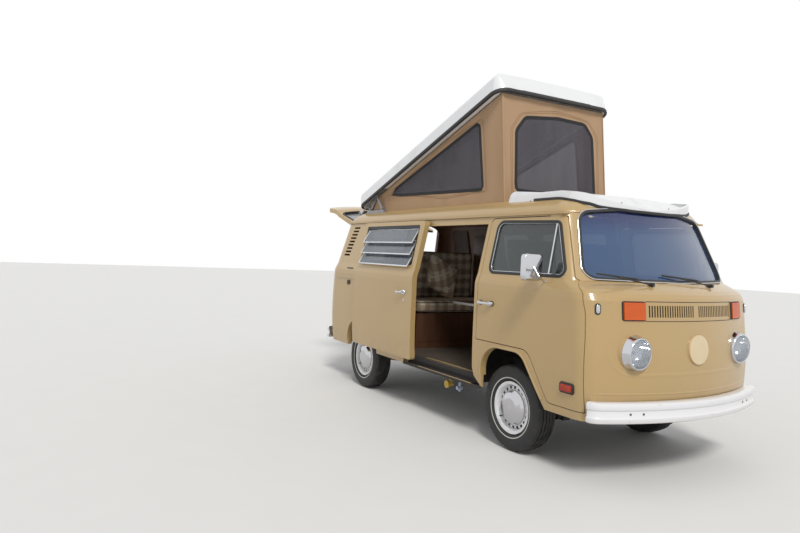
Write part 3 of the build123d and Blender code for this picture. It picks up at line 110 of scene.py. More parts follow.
# Studio floor: one plain pale sheet with the faintest grain, a little below the wheels. Its paint
# and all others are made with the two classes here.
class Tone:
    """A number that varies over a surface. Sums on it add Math nodes."""

    def __init__(self, paint, socket):
        self.paint = paint
        self.socket = socket

    def __add__(self, other):
        return self.paint.maths("ADD", self, other)

    def __radd__(self, other):
        return self.paint.maths("ADD", other, self)

    def __sub__(self, other):
        return self.paint.maths("SUBTRACT", self, other)

    def __rsub__(self, other):
        return self.paint.maths("SUBTRACT", other, self)

    def __mul__(self, other):
        return self.paint.maths("MULTIPLY", self, other)

    def __rmul__(self, other):
        return self.paint.maths("MULTIPLY", other, self)


class Paint:
    """One material: plain numbers are set on its shader, and what varies is linked to it."""

    def __init__(self, name, colour, roughness, metallic=0.0, **plain):
        self.material = bpy.data.materials.new(name)
        self.material.use_nodes = True
        self.tree = self.material.node_tree
        self.shader = self.tree.nodes["Principled BSDF"]
        self.put("Base Color", colour)
        self.put("Roughness", roughness)
        self.put("Metallic", metallic)
        for key, value in plain.items():
            self.put(key.replace("_", " ").title(), value)
        self.height = None

    def node(self, kind, settings=None, values=None, out=0):
        made = self.tree.nodes.new(kind)
        for key, value in (settings or {}).items():
            setattr(made, key, value)
        for key, value in (values or {}).items():
            self.feed(made.inputs[key], value)
        return Tone(self, made.outputs[out])

    def feed(self, socket, value):
        if isinstance(value, Tone):
            self.tree.links.new(value.socket, socket)
        elif isinstance(value, (tuple, list)) and len(value) == 3 and len(socket.default_value) == 4:
            socket.default_value = (*value, 1.0)
        else:
            socket.default_value = value

    def put(self, name, value):
        self.feed(self.shader.inputs[name], value)

    def maths(self, operation, *values):
        return self.node("ShaderNodeMath", {"operation": operation}, dict(enumerate(values)))

    def mix(self, factor, one, other):
        return self.node("ShaderNodeMix", {"data_type": "RGBA"}, {0: factor, 6: one, 7: other}, 2)

    def step(self, value, low, high, first=0.0, last=1.0):
        """Goes smoothly from first to last while the value goes from low to high."""
        return self.node("ShaderNodeMapRange", {"interpolation_type": "SMOOTHSTEP"},
                         {0: value, 1: low, 2: high, 3: first, 4: last})

    def place(self):
        return self.node("ShaderNodeTexCoord", None, None, "Object")

    def normal(self):
        return self.node("ShaderNodeNewGeometry", None, None, "True Normal")

    def apart(self, vector):
        outputs = self.node("ShaderNodeSeparateXYZ", None, {0: vector}).socket.node.outputs
        return [Tone(self, outputs[index]) for index in range(3)]

    def axes(self, which="xyz"):
        """The place's coordinates that are named, in metres."""
        apart = self.apart(self.place())
        return [apart["xyz".index(letter)] for letter in which]

    def noise(self, scale, detail=3.0, stretch=(1.0, 1.0, 1.0)):
        where = self.node("ShaderNodeMapping", None, {"Vector": self.place(), "Scale": stretch})
        return self.node("ShaderNodeTexNoise", None,
                         {"Vector": where, "Scale": scale, "Detail": detail})

    def worn(self, base, spread, *pattern):
        """Varies the roughness from base up to base + spread, in patches."""
        self.put("Roughness", base + self.noise(*pattern) * spread)
        return self

    def mottled(self, one, other, *pattern):
        """Varies the colour between two tones, in patches."""
        self.put("Base Color", self.mix(self.noise(*pattern), one, other))
        return self

    def raise_by(self, height, distance, strength=1.0):
        """Adds a height in metres to the bump."""
        values = {"Strength": strength, "Distance": distance, "Height": height}
        if self.height is not None:
            values["Normal"] = self.height
        self.height = self.node("ShaderNodeBump", None, values)
        self.put("Normal", self.height)


floor_paint = Paint("pale_floor", (0.80, 0.80, 0.79), 0.85)
floor_paint.mottled((0.79, 0.79, 0.78), (0.82, 0.82, 0.81), 3.0, 5.0)
bm = bmesh.new()
bmesh.ops.create_grid(bm, x_segments=2, y_segments=2, size=40.0)
bmesh.ops.translate(bm, verts=bm.verts, vec=(0.0, 0.0, -0.002))
floor_mesh = bpy.data.meshes.new("studio_floor")
bm.to_mesh(floor_mesh)
bm.free()
floor_mesh.materials.append(floor_paint.material)
studio_floor = bpy.data.objects.new("studio_floor", floor_mesh)
bpy.context.scene.collection.objects.link(studio_floor)

# Body panels: pressed steel in gloss tan enamel, with a faint orange-peel ripple and road dust
# low down. The faces towards the inside are lined: walnut board behind, cream vinyl in the cab.
tan = (0.475, 0.322, 0.138)
cab_wall_x = 1.06


def enamel(name, lined=True):
    """Tan enamel, with a lining on faces that look towards the van's inside."""
    paint = Paint(name, tan, 0.34, coat_weight=0.55, coat_roughness=0.06)
    x, y, z = paint.axes()
    cloud = paint.noise(2.2, 4.0)
    colour = paint.mix(cloud, (0.455, 0.310, 0.130), (0.495, 0.338, 0.147))
    dust = paint.step(z, 0.75, 0.38) * paint.step(paint.noise(9.0, 6.0), 0.35, 0.75) * 0.35
    colour = paint.mix(dust, colour, (0.34, 0.27, 0.18))
    grime = paint.step(paint.noise(38.0, 4.0), 0.62, 0.78) * 0.06
    roughness = 0.30 + cloud * 0.08 + dust * 0.5
    if lined:
        outward = paint.node("ShaderNodeCombineXYZ", None, {0: (x - 0.1) * 0.3, 1: y, 2: z - 1.1})
        facing = paint.node("ShaderNodeVectorMath", {"operation": "DOT_PRODUCT"},
                            {0: paint.normal(), 1: outward}, "Value")
        inside = paint.step(facing, -0.42, -0.5)
        grain = paint.noise(6.0, 8.0, (1.0, 1.0, 14.0))
        board = paint.mix(grain, (0.085, 0.036, 0.018), (0.19, 0.085, 0.042))
        vinyl = paint.mix(paint.noise(220.0), (0.50, 0.45, 0.36), (0.58, 0.52, 0.42))
        lining = paint.mix(paint.step(x, cab_wall_x, cab_wall_x + 0.02), board, vinyl)
        colour = paint.mix(inside, colour, lining)
        roughness = roughness + inside * 0.22
        paint.put("Coat Weight", 0.55 - inside * 0.5)
    paint.put("Base Color", paint.mix(grime, colour, (0.40, 0.33, 0.24)))
    paint.put("Roughness", roughness)
    paint.raise_by(paint.noise(55.0, 2.0), 0.0012, 0.05)
    return paint


def dress(paint, *names):
    """Gives CAD nodes a material."""
    for name in names:
        nodes[name].data.materials.clear()
        nodes[name].data.materials.append(paint.material)


body_enamel = enamel("tan_enamel")
dress(body_enamel, "front_panel", "side_left", "side_right", "tail_panel", "roof", "sliding_door",
      "cab_door_left", "cab_door_right", "tailgate", "engine_lid")
trim_enamel = enamel("tan_enamel_trim", lined=False)
dress(trim_enamel, "air_grille")
disc_cream = Paint("disc_cream", (0.68, 0.54, 0.33), 0.3, coat_weight=0.5, coat_roughness=0.1)
disc_cream.mottled((0.64, 0.50, 0.30), (0.72, 0.58, 0.37), 12.0)
dress(disc_cream, "nose_disc")

# Lifting roof and luggage tray: white glass-fibre mouldings, a little chalky, with the weave
# of the mat just showing and grey streaks of rain dirt.
moulding = Paint("white_moulding", (0.80, 0.80, 0.80), 0.36, coat_weight=0.25, coat_roughness=0.2)
streak = moulding.step(moulding.noise(7.0, 6.0, (1.0, 1.0, 0.25)), 0.5, 0.8) * 0.35
moulding.put("Base Color", moulding.mix(streak, (0.80, 0.81, 0.83), (0.62, 0.62, 0.61)))
moulding.put("Roughness", 0.32 + streak * 0.5)
moulding.raise_by(moulding.noise(90.0, 3.0), 0.001, 0.06)
dress(moulding, "lifting_roof", "luggage_tray")

# Underbody: wheel boxes, rails and axles of pressed and welded steel, under black paint with dry
# dust caked on it.
underbody = Paint("underbody_black", (0.03, 0.03, 0.03), 0.75)
caked = underbody.step(underbody.noise(8.0, 6.0), 0.42, 0.72)
underbody.put("Base Color", underbody.mix(caked, (0.018, 0.018, 0.018), (0.075, 0.065, 0.05)))
underbody.put("Roughness", 0.6 + caked * 0.3)
underbody.raise_by(underbody.noise(60.0, 5.0), 0.003, 0.35)
dress(underbody, "wheel_boxes", "chassis_rails", "front_axle", "knuckle_left", "knuckle_right",
      "rear_axle")

# Engine block and exhaust: rough-cast alloy, and a dull steel silencer with rust at its seams,
# both hung under the tail.
cast = Paint("cast_alloy", (0.35, 0.35, 0.35), 0.55, 0.8)
cast.mottled((0.20, 0.19, 0.18), (0.42, 0.42, 0.42), 12.0, 6.0)
cast.raise_by(cast.noise(140.0, 4.0), 0.002, 0.3)
dress(cast, "engine")
silencer = Paint("silencer_steel", (0.22, 0.2, 0.18), 0.6, 0.7)
rust = silencer.step(silencer.noise(16.0, 7.0), 0.5, 0.7)
silencer.put("Base Color", silencer.mix(rust, (0.26, 0.25, 0.24), (0.20, 0.09, 0.04)))
silencer.put("Metallic", 0.8 - rust * 0.7)
silencer.put("Roughness", 0.45 + rust * 0.4)
dress(silencer, "exhaust")

# Windows: toughened glass let into the openings, grey at the sides and back, and paler in the louvre
# blades.
# The windscreen's strong blue is a painted reflection of the sky, with a darker tinted band along its top.
pane = Paint("window_glass", (0.03, 0.045, 0.048), 0.03, coat_weight=1.0, coat_roughness=0.02)
pane.put("Alpha", 0.60 + pane.noise(5.0, 2.0) * 0.04)
dress(pane, "side_glass", "cab_glass_left", "cab_glass_right", "tailgate_glass")
# Painted reflection: the windscreen's blue base colour stands for the sky that it reflects. Its darker top
# band is the glass's own tinted shade band.
screen_glass = Paint("windscreen_glass", (0.03, 0.09, 0.25), 0.03, coat_weight=1.0, coat_roughness=0.02)
shade = screen_glass.step(*screen_glass.axes("z"), 1.60, 1.80)
screen_glass.put("Base Color", screen_glass.mix(shade, (0.040, 0.105, 0.25), (0.015, 0.032, 0.15)))
screen_glass.put("Alpha", 0.62 + screen_glass.noise(5.0, 2.0) * 0.04)
dress(screen_glass, "windscreen")
blade_glass = Paint("louvre_glass", (0.10, 0.13, 0.17), 0.05, coat_weight=1.0, coat_roughness=0.02)
blade_glass.put("Alpha", 0.55 + blade_glass.noise(5.0, 2.0) * 0.04)
dress(blade_glass, "louvre_blades")

# Metal fittings: mirrors in bright chrome plate, wipers in satin black, the louvre frame in dark
# anodised alloy, and the lifting roof's brackets and links in grey paint.
chrome = Paint("chrome_plate", (0.60, 0.61, 0.64), 0.08, 1.0).worn(0.05, 0.10, 30.0, 4.0)
dress(chrome, "mirror_left", "mirror_right")
satin_black = Paint("satin_black", (0.018, 0.018, 0.019), 0.42).worn(0.36, 0.2, 45.0, 4.0)
dress(satin_black, "wipers")
dark_alloy = Paint("dark_alloy", (0.03, 0.035, 0.045), 0.35, 0.5).worn(0.3, 0.15, 60.0)
dress(dark_alloy, "louvre_frame")
bracket_grey = Paint("bracket_grey", (0.30, 0.31, 0.33), 0.45, 0.6).worn(0.38, 0.2, 60.0)
dress(bracket_grey, "roof_brackets", "link_front", "link_rear")

# Window rubbers: black rubber sections pressed over panel and glass, with a chrome bead in the
# windscreen's. Each is swept along its opening's outline, which is set on the panel's surface.
axle_x = 1.464
SIDES = {"right": -1, "left": 1}
# Each look's rays: where they start, which way they go, and the two axes of the outlines it sets.
LOOKS = {
    "right": ((0.0, -4.0, 0.0), (0, 1, 0), 0, 2),
    "left": ((0.0, 4.0, 0.0), (0, -1, 0), 0, 2),
    "front": ((6.0, 0.0, 0.0), (-1, 0, 0), 1, 2),
    "rear": ((-6.0, 0.0, 0.0), (1, 0, 0), 1, 2),
    "top": ((0.0, 0.0, 6.0), (0, 0, -1), 0, 1),
}


def skin(*names):
    """Search tree of CAD nodes, for setting trim on them."""
    bm = bmesh.new()
    for name in names:
        bm.from_mesh(nodes[name].data)
    found = BVHTree.FromBMesh(bm)
    bm.free()
    return found


def rounded(corners, radii, closed=True, steps=6):
    """Corner points to a smooth loop, each corner an arc of its own radius. Sizes in mm."""
    loop = []
    count = len(corners)
    if not isinstance(radii, (list, tuple)):
        radii = [radii] * count
    for index in range(count):
        corner = Vector(corners[index])
        if radii[index] <= 0 or (not closed and index in (0, count - 1)):
            loop.append(tuple(corner))
            continue
        one = (Vector(corners[index - 1]) - corner).normalized()
        two = (Vector(corners[(index + 1) % count]) - corner).normalized()
        half = one.angle(two) / 2
        away = radii[index] / math.tan(half)
        centre = corner + (one + two).normalized() * (radii[index] / math.sin(half))
        start = corner + one * away - centre
        end = corner + two * away - centre
        for step in range(steps + 1):
            arm = start.slerp(end, step / steps)
            loop.append(tuple(centre + arm.normalized() * radii[index]))
    return loop


def boxed(left, low, right, high, radius, steps=6):
    """A rounded rectangle, in mm."""
    return rounded([(left, low), (right, low), (right, high), (left, high)], radius, steps=steps)


def fill_in(loop, gap, closed=True):
    """Adds points so that none is further than gap from the next."""
    result = []
    count = len(loop)
    for index in range(count if closed else count - 1):
        a = Vector(loop[index])
        b = Vector(loop[(index + 1) % count])
        parts = max(1, math.ceil((b - a).length / gap))
        result += [tuple(a.lerp(b, part / parts)) for part in range(parts)]
    return result if closed else result + [tuple(loop[-1])]


def seat(tree, loop, look, smooth=2, closed=True):
    """Sets a loop of millimetre points on a surface: a list of (place, normal)."""
    start, way, first, second = LOOKS[look]
    way = Vector(way)
    seats = []
    for a, b in loop:
        origin = Vector(start)
        origin[first] = a / 1000 + (axle_x if first == 0 else 0.0)
        origin[second] = b / 1000
        place, normal = tree.ray_cast(origin, way)[:2]
        if place is not None:
            seats.append((place, -normal if normal.dot(way) > 0 else normal))
    last = len(seats) - 1
    for smoothing in range(smooth):
        normals = []
        for index, here in enumerate(seats):
            before = seats[index - 1] if closed or index else here
            after = seats[(index + 1) % len(seats)] if closed or index < last else here
            normals.append((before[1] + here[1] * 2 + after[1]).normalized())
        seats = [(seated[0], normal) for seated, normal in zip(seats, normals)]
    return seats


def piece(bm, name, paint, body, sharp=38.0):
    """Makes an object of a finished bmesh, that rides on a body."""
    mesh = bpy.data.meshes.new(name)
    bm.to_mesh(mesh)
    bm.free()
    mesh.materials.append(paint.material)
    for polygon in mesh.polygons:
        polygon.use_smooth = True
    mesh.set_sharp_from_angle(angle=math.radians(sharp))
    thing = bpy.data.objects.new(name, mesh)
    bpy.context.scene.collection.objects.link(thing)
    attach(thing, body)
    return thing


def cover(bm, rows, closed=True):
    """Adds faces between each row of points and the next."""
    for one, two in zip(rows, rows[1:]):
        for index in range(len(one) if closed else len(one) - 1):
            after = (index + 1) % len(one)
            bm.faces.new((one[index], one[after], two[after], two[index]))


def sweep(bm, seats, section, closed=True):
    """Sweeps a closed section of (across, outward) millimetre points along seats."""
    rows = []
    last = len(seats) - 1
    for index, (place, normal) in enumerate(seats):
        before = seats[index - 1][0] if closed or index else place
        after = seats[(index + 1) % len(seats)][0] if closed or index < last else place
        across = normal.cross((after - before).normalized()).normalized()
        rows.append([bm.verts.new(place + (across * s + normal * h) / 1000) for s, h in section])
    cover(bm, rows + rows[:1] if closed else rows)
    if not closed:
        bm.faces.new(rows[0])
        bm.faces.new(rows[-1][::-1])
    bmesh.ops.recalc_face_normals(bm, faces=bm.faces)


def bead(width, height, sink=3.0):
    """Section of a flat bead with rounded shoulders."""
    w = width / 2
    return [(-w, -sink), (w, -sink), (w, height * 0.5), (w * 0.62, height * 0.92), (0, height),
            (-w * 0.62, height * 0.92), (-w, height * 0.5)]


def trim(name, paint, body, tree, loop, look, section, closed=True):
    """A section swept along a loop that is set on a surface."""
    bm = bmesh.new()
    sweep(bm, seat(tree, loop, look, closed=closed), section, closed)
    return piece(bm, name, paint, body)


rubber = Paint("window_rubber", (0.016, 0.016, 0.017), 0.55).worn(0.48, 0.2, 50.0, 4.0)
rubber.mottled((0.012, 0.012, 0.013), (0.03, 0.03, 0.03), 30.0, 5.0)
screen_skin = skin("front_panel", "roof")
screen_edge = rounded(
    [(-742, 1326), (0, 1314), (742, 1326), (636, 1780), (0, 1847), (-636, 1780)],
    [72, 2000, 72, 112, 1500, 112])
trim("windscreen_rubber", rubber, "body", screen_skin, fill_in(screen_edge, 40), "front",
     bead(26, 7, 16))
bead_edge = rounded(
    [(-750, 1320), (0, 1308), (750, 1320), (642, 1787), (0, 1853), (-642, 1787)],
    [74, 2000, 74, 114, 1500, 114])
trim("windscreen_bead", chrome, "body", screen_skin, fill_in(bead_edge, 40), "front",
     bead(8, 9, 2))
door_skins = {side: skin("cab_door_" + side) for side in SIDES}
side_skins = {side: skin("side_" + side) for side in SIDES}
cab_window = rounded([(-266, 1324), (562, 1330), (406, 1704), (-266, 1720)], [58, 43, 43, 63])
for side in SIDES:
    trim("cab_window_rubber_" + side, rubber, "cab_door_" + side, door_skins[side],
         fill_in(cab_window, 50), side, bead(22, 5, 10))
for name, side, rear, front in (
    ("rear_quarter", "right", -2444, -1636), ("kitchen", "left", -1444, -516),
    ("rear_quarter_left", "left", -2444, -1596),
):
    edge = fill_in(boxed(rear, 1328, front, 1716, 58), 60)
    trim(name + "_window_rubber", rubber, "body", side_skins[side], edge, side,
         bead(24, 6, 10))
tailgate_x = -3204
tailgate_skin = skin("tailgate")
tail_edge = rounded([(tailgate_x - 474, -560), (tailgate_x - 86, -508),
                     (tailgate_x - 86, 508), (tailgate_x - 474, 560)], 62)
trim("tail_window_rubber", rubber, "tailgate", tailgate_skin, fill_in(tail_edge, 50), "top",
     bead(26, 6, 12))

# Louvre window of the sliding door: bright alloy strips along each glass blade's two edges, and
# clips that hold its ends. They are bevelled bars, tilted with the blades.
BELT_Z = 1311
BELT_HALF = 834
SIDE_LEAN = 0.2129
bright_alloy = Paint("bright_alloy", (0.74, 0.75, 0.77), 0.25, 0.95).worn(0.2, 0.15, 80.0)
blade_low, blade_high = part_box("louvre_blades")
blade_middle = (blade_low.x + blade_high.x) / 2
LOUVRE_LOW = 1358
LOUVRE_HIGH = 1686
DOOR_OUT = 76
blade_long = 0.150
blade_tilt = math.radians(30)
bm = bmesh.new()


def blade_bar(x, place, wide, deep, high):
    """Adds a bar that leans as the blades do, in metres."""
    bmesh.ops.create_cube(bm, size=1.0, matrix=(
        Matrix.Translation((x, place.y, place.z)) @ Matrix.Rotation(-blade_tilt, 4, "X")
        @ Matrix.Diagonal((wide, deep, high, 1))))


for index in range(3):
    top_z = LOUVRE_LOW + (LOUVRE_HIGH - LOUVRE_LOW) * (index + 1) / 3 - 10
    top_y = 20 - DOOR_OUT - BELT_HALF + SIDE_LEAN * (top_z - BELT_Z)
    high = Vector((0, top_y, top_z)) / 1000
    low = high - Vector((0, math.sin(blade_tilt), math.cos(blade_tilt))) * blade_long
    for place, wide in ((low, 0.012), (high, 0.009)):
        blade_bar(blade_middle, place, blade_high.x - blade_low.x - 0.004, 0.0105, wide)
    for end_x in (blade_low.x + 0.006, blade_high.x - 0.006):
        blade_bar(end_x, (low + high) / 2, 0.012, 0.012, blade_long + 0.002)
bmesh.ops.bevel(bm, geom=bm.edges, offset=0.002, offset_type="OFFSET", segments=2, profile=0.5,
                affect="EDGES", material=-1)
piece(bm, "louvre_blade_edges", bright_alloy, "body")

# Cab door windows: a thin chrome bead in the rubber and the chrome bar of the vent window, both
# swept in the plane of the leaning glass.
bead_loop = fill_in(rounded([(-254, 1336), (548, 1342), (394, 1694), (-254, 1708)], [50, 36, 36, 55]), 50)
bar_lines = [(Vector((389, 1330)), Vector((374, 1704))), (Vector((382, 1338)), Vector((556, 1338)))]


def at(x, y, z):
    """A place in the scene, from millimetres ahead of the front axle, to the left, and up."""
    return Vector((x / 1000 + axle_x, y / 1000, z / 1000))


def on_glass(sign, x, z, inward):
    """A seat in the glass's plane, some millimetres in from the door's skin."""
    place = at(x, sign * (BELT_HALF - (z - BELT_Z) * SIDE_LEAN - inward), z)
    return place, Vector((0, sign * 0.978, 0.208))


for side, sign in SIDES.items():
    bm = bmesh.new()
    for low, high in bar_lines:
        seats = [on_glass(sign, *low.lerp(high, part / 8), 9) for part in range(9)]
        sweep(bm, seats, bead(13, 7, 8), closed=False)
    piece(bm, "vent_window_bar_" + side, chrome, "cab_door_" + side)
    bm = bmesh.new()
    sweep(bm, [on_glass(sign, x, z, 4) for x, z in bead_loop], bead(6, 5, 6))
    piece(bm, "cab_window_bead_" + side, chrome, "cab_door_" + side)

# Bumpers: white enamelled pressings with a raised band above and below a flat middle. The
# section is spun round the long curve, then round the corner, and drawn back along the side.
bumper_white = Paint("bumper_white", (0.78, 0.78, 0.79), 0.3, coat_weight=0.4, coat_roughness=0.1)
chip = bumper_white.step(bumper_white.noise(26.0, 6.0), 0.66, 0.74) * 0.5
# The bumper is painted darker towards its bottom edge, by height alone.
lower_edge_darkening = bumper_white.step(*bumper_white.axes("z"), 0.47, 0.42) * 0.3
bumper_white.put("Base Color", bumper_white.mix(chip + lower_edge_darkening, (0.79, 0.79, 0.81), (0.52, 0.49, 0.45)))
bumper_white.put("Roughness", 0.26 + chip * 0.5)
# The section from its upper to its lower lip: how far out of the face, and how high.
BUMPER_SECTION = [
    (-74, 551), (-40, 555), (-14, 555), (-4, 550), (0, 540), (0, 514), (-3, 508), (-8, 504), (-8, 466),
    (-4, 460), (0, 455), (0, 436), (-4, 426), (-14, 421), (-40, 421), (-60, 425),
]
BUMPER_HALF = 858.0
BUMPER_CORNER = 90.0


def bumper_skin(node, face_x, radius, way, returned):
    """One half is spun and mirrored. way is 1 at the front and -1 at the rear."""
    centre = face_x - way * radius
    corner_y = BUMPER_HALF - BUMPER_CORNER
    reach = radius - BUMPER_CORNER
    corner_x = centre + way * math.sqrt(reach ** 2 - corner_y ** 2)
    swing = math.asin(corner_y / reach)
    bm = bmesh.new()
    row = [bm.verts.new(at(face_x + way * s, 0, z)) for s, z in BUMPER_SECTION]
    line = [bm.edges.new(pair) for pair in zip(row, row[1:])]
    for pivot, angle, steps in (
        (at(centre, 0, 0), swing, 28),
        (at(corner_x, corner_y, 0), (math.pi / 2 - swing) * 0.9, 10),
    ):
        made = bmesh.ops.spin(bm, geom=line, cent=pivot, axis=(0, 0, way), angle=angle, steps=steps,
                              use_duplicate=False)
        line = [edge for edge in made["geom_last"] if isinstance(edge, bmesh.types.BMEdge)]
    drawn = bmesh.ops.extrude_edge_only(bm, edges=line)["geom"]
    moved = [vert for vert in drawn if isinstance(vert, bmesh.types.BMVert)]
    bmesh.ops.translate(bm, verts=moved, vec=(-way * returned / 1000, -returned / 9000, 0))
    bmesh.ops.mirror(bm, geom=bm.verts[:] + bm.edges[:] + bm.faces[:], axis="Y", merge_dist=0.00001)
    bmesh.ops.recalc_face_normals(bm, faces=bm.faces)
    outer = max(bm.faces, key=lambda face: way * face.calc_center_median().x)
    if outer.normal.x * way < 0:
        bmesh.ops.reverse_faces(bm, faces=bm.faces)
    bmesh.ops.solidify(bm, geom=bm.faces[:], thickness=0.003)
    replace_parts(piece(bm, node + "_skin", bumper_white, "body"), node)


FRONT_BUMPER_X = 1062.0
FRONT_BUMPER_BEND = 2050.0
bumper_skin("front_bumper", FRONT_BUMPER_X, FRONT_BUMPER_BEND, 1, 4.0)
bumper_skin("rear_bumper", -3452.0, 3400.0, -1, 30.0)
bolt_steel = Paint("bolt_steel", (0.16, 0.15, 0.15), 0.45, 0.8).worn(0.4, 0.2, 200.0)
bm = bmesh.new()
for y in (-610, -520, 520, 610):
    reach = math.sqrt((FRONT_BUMPER_BEND - 8) ** 2 - y ** 2)
    foot = at(FRONT_BUMPER_X - FRONT_BUMPER_BEND + reach, y, 484)
    bmesh.ops.create_cone(bm, cap_ends=True, segments=12, radius1=0.009, radius2=0.007, depth=0.006,
                          matrix=Matrix.Translation(foot)
                          @ Matrix.Rotation(math.atan2(y, reach), 4, "Z")
                          @ Matrix.Rotation(math.pi / 2, 4, "Y"))
piece(bm, "bumper_bolts", bolt_steel, "body")

# Tyres: black rubber, spun from their section, with three grooves, notched ribs and a thin white
# line on the outer wall. They sit on the rims' flanges.
REAR_AXLE_X = -0.936
WHEEL_Z = 0.322
FRONT_TRACK = 0.697
REAR_TRACK = 0.727


def spun(bm, profile, centre, axis, steps=32, closed=False):
    """Spins (along, radius) millimetre points round an axis through centre."""
    axis = Vector(axis).normalized()
    arm = axis.orthogonal().normalized()
    row = [bm.verts.new(Vector(centre) + (axis * a + arm * r) / 1000) for a, r in profile]
    edges = [bm.edges.new(pair) for pair in zip(row, row[1:] + (row[:1] if closed else []))]
    bmesh.ops.spin(bm, geom=row + edges, cent=centre, axis=axis, angle=2 * math.pi, steps=steps,
                   use_merge=True)
    bmesh.ops.remove_doubles(bm, verts=bm.verts[:], dist=0.00001)
    bmesh.ops.recalc_face_normals(bm, faces=bm.faces[:])


def from_axle(paint):
    """Radius, distance outboard of the wheel's middle, and angle, for the wheels as they stand."""
    x, y, z = paint.axes()
    along = x - paint.step(x, 0.2, 0.3, REAR_AXLE_X, axle_x)
    high = z - WHEEL_Z
    outboard = paint.maths("ABSOLUTE", y) - paint.step(x, 0.2, 0.3, REAR_TRACK, FRONT_TRACK)
    angle = paint.maths("ARCTAN2", high, along)
    return paint.maths("SQRT", along * along + high * high), outboard, angle


tyre_rubber = Paint("tyre_rubber", (0.02, 0.02, 0.02), 0.75)
radius, outboard = from_axle(tyre_rubber)[:2]
dusty = tyre_rubber.step(tyre_rubber.noise(14.0, 6.0), 0.42, 0.75) * tyre_rubber.step(radius, 0.27, 0.32)
black = tyre_rubber.mix(dusty * 0.6, (0.018, 0.018, 0.019), (0.10, 0.09, 0.08))
line = (tyre_rubber.step(radius, 0.2185, 0.2195) * tyre_rubber.step(radius, 0.2265, 0.2255)
        * tyre_rubber.step(outboard, 0.078, 0.081))
tyre_rubber.put("Base Color", tyre_rubber.mix(line, black, (0.62, 0.60, 0.56)))
tyre_rubber.put("Roughness", 0.62 + dusty * 0.3)
tyre_rubber.raise_by(tyre_rubber.noise(240.0, 3.0), 0.0008, 0.2)
# Half of the section, from bead to tread: how far from the tyre's middle, and the radius.
TYRE_HALF = [
    (61, 196), (72, 201), (82, 212), (87, 219), (88.5, 220.5), (88.5, 226), (88, 228), (91, 240),
    (93.5, 256), (92.5, 272), (89, 288), (84, 301), (78, 309), (68, 316), (50, 319.5), (46.5, 319.5),
    (46, 311), (40, 311), (39.5, 320.5), (17.5, 321.5), (17, 313), (11, 313), (10.5, 321.7), (0, 321.7),
]
tyre_steps = 96
notch_depth = 0.0045
corners = [
    ("front_left", axle_x, FRONT_TRACK), ("front_right", axle_x, -FRONT_TRACK),
    ("rear_left", REAR_AXLE_X, REAR_TRACK), ("rear_right", REAR_AXLE_X, -REAR_TRACK),
]
for name, x, y in corners:
    hub = Vector((x, y, WHEEL_Z))
    bm = bmesh.new()
    spun(bm, [(-a, r) for a, r in TYRE_HALF] + TYRE_HALF[-2::-1], hub, (0, 1, 0), tyre_steps, closed=True)
    for vert in bm.verts:
        away = vert.co - hub
        number = round(math.atan2(away.z, away.x) / (2 * math.pi / tyre_steps))
        if math.hypot(away.x, away.z) > 0.315 and abs(away.y) > 0.012 and number % 4 == 0:
            vert.co -= Vector((away.x, 0, away.z)).normalized() * notch_depth
    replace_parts(piece(bm, "tyre_rubber_" + name, tyre_rubber, "wheel_" + name), "tyre_" + name)

# Wheels: white enamelled steel with a bright domed cap, and a rubber valve through each rim. The
# ventilation slots and the rim's inboard part are painted near black as painted shade.
rim_white = Paint("rim_white", (0.74, 0.74, 0.75), 0.35, coat_weight=0.3)
radius, outboard, angle = from_axle(rim_white)
cap_here = rim_white.step(radius, 0.1325, 0.1318) * rim_white.step(outboard, 0.038, 0.040)
brake_dust = rim_white.step(rim_white.noise(18.0, 6.0), 0.42, 0.78) * 0.45
# Painted shade: the ventilation slots are painted near black to stand for dark openings, and the rim's
# inboard part is painted near black for the shade inside the wheel.
slots = (rim_white.step(rim_white.maths("COSINE", angle * 20.0), -0.15, 0.05)
         * rim_white.step(radius, 0.1375, 0.1385) * rim_white.step(radius, 0.1585, 0.1575)
         * rim_white.step(outboard, 0.010, 0.012))
slot_and_inboard_painted_shade = rim_white.maths("MAXIMUM", slots, rim_white.step(outboard, 0.006, -0.004))
white = rim_white.mix(brake_dust, (0.77, 0.78, 0.80), (0.42, 0.38, 0.34))
white = rim_white.mix(slot_and_inboard_painted_shade, white, (0.03, 0.03, 0.03))
rim_white.put("Base Color", rim_white.mix(cap_here, white, (0.56, 0.56, 0.58)))
rim_white.put("Metallic", cap_here)
rim_white.put("Roughness", 0.34 - cap_here * 0.26 + brake_dust * 0.3)
valve_foot = Vector((math.cos(math.radians(215)), 0, math.sin(math.radians(215)))) * 0.164
for name, x, y in corners:
    dress(rim_white, "rim_" + name)
    way = 1 if y > 0 else -1
    foot = Vector((x, y + way * 0.034, WHEEL_Z)) + valve_foot
    bm = bmesh.new()
    spun(bm, [(-4, 0), (-4, 5), (8, 4.5), (9, 3.2), (26, 3.2), (27, 4), (34, 4), (34, 0)], foot,
         (0, way, 0), 12)
    piece(bm, "tyre_valve_" + name, rubber, "wheel_" + name)

# Head lamps: a chrome ring and bowl in the nose, a bulb in its holder, and a fluted glass that the
# ring holds. All are spun round the lamp's axis.
lamp_glass = Paint("headlamp_glass", (0.50, 0.58, 0.66), 0.03, coat_weight=1.0)
flute = lamp_glass.maths("SINE", lamp_glass.axes("y")[0] * 1000.0)
lamp_glass.put("Alpha", 0.42 + flute * 0.10)
lamp_glass.raise_by(flute, 0.0012, 0.8)


def lamp_pair(name, paint, profile, steps):
    """Spins a profile round both lamps' axes."""
    bm = bmesh.new()
    for y in (-530, 530):
        spun(bm, profile, at(932, y, 859), (1, 0, 0), steps)
    return piece(bm, name, paint, "body")


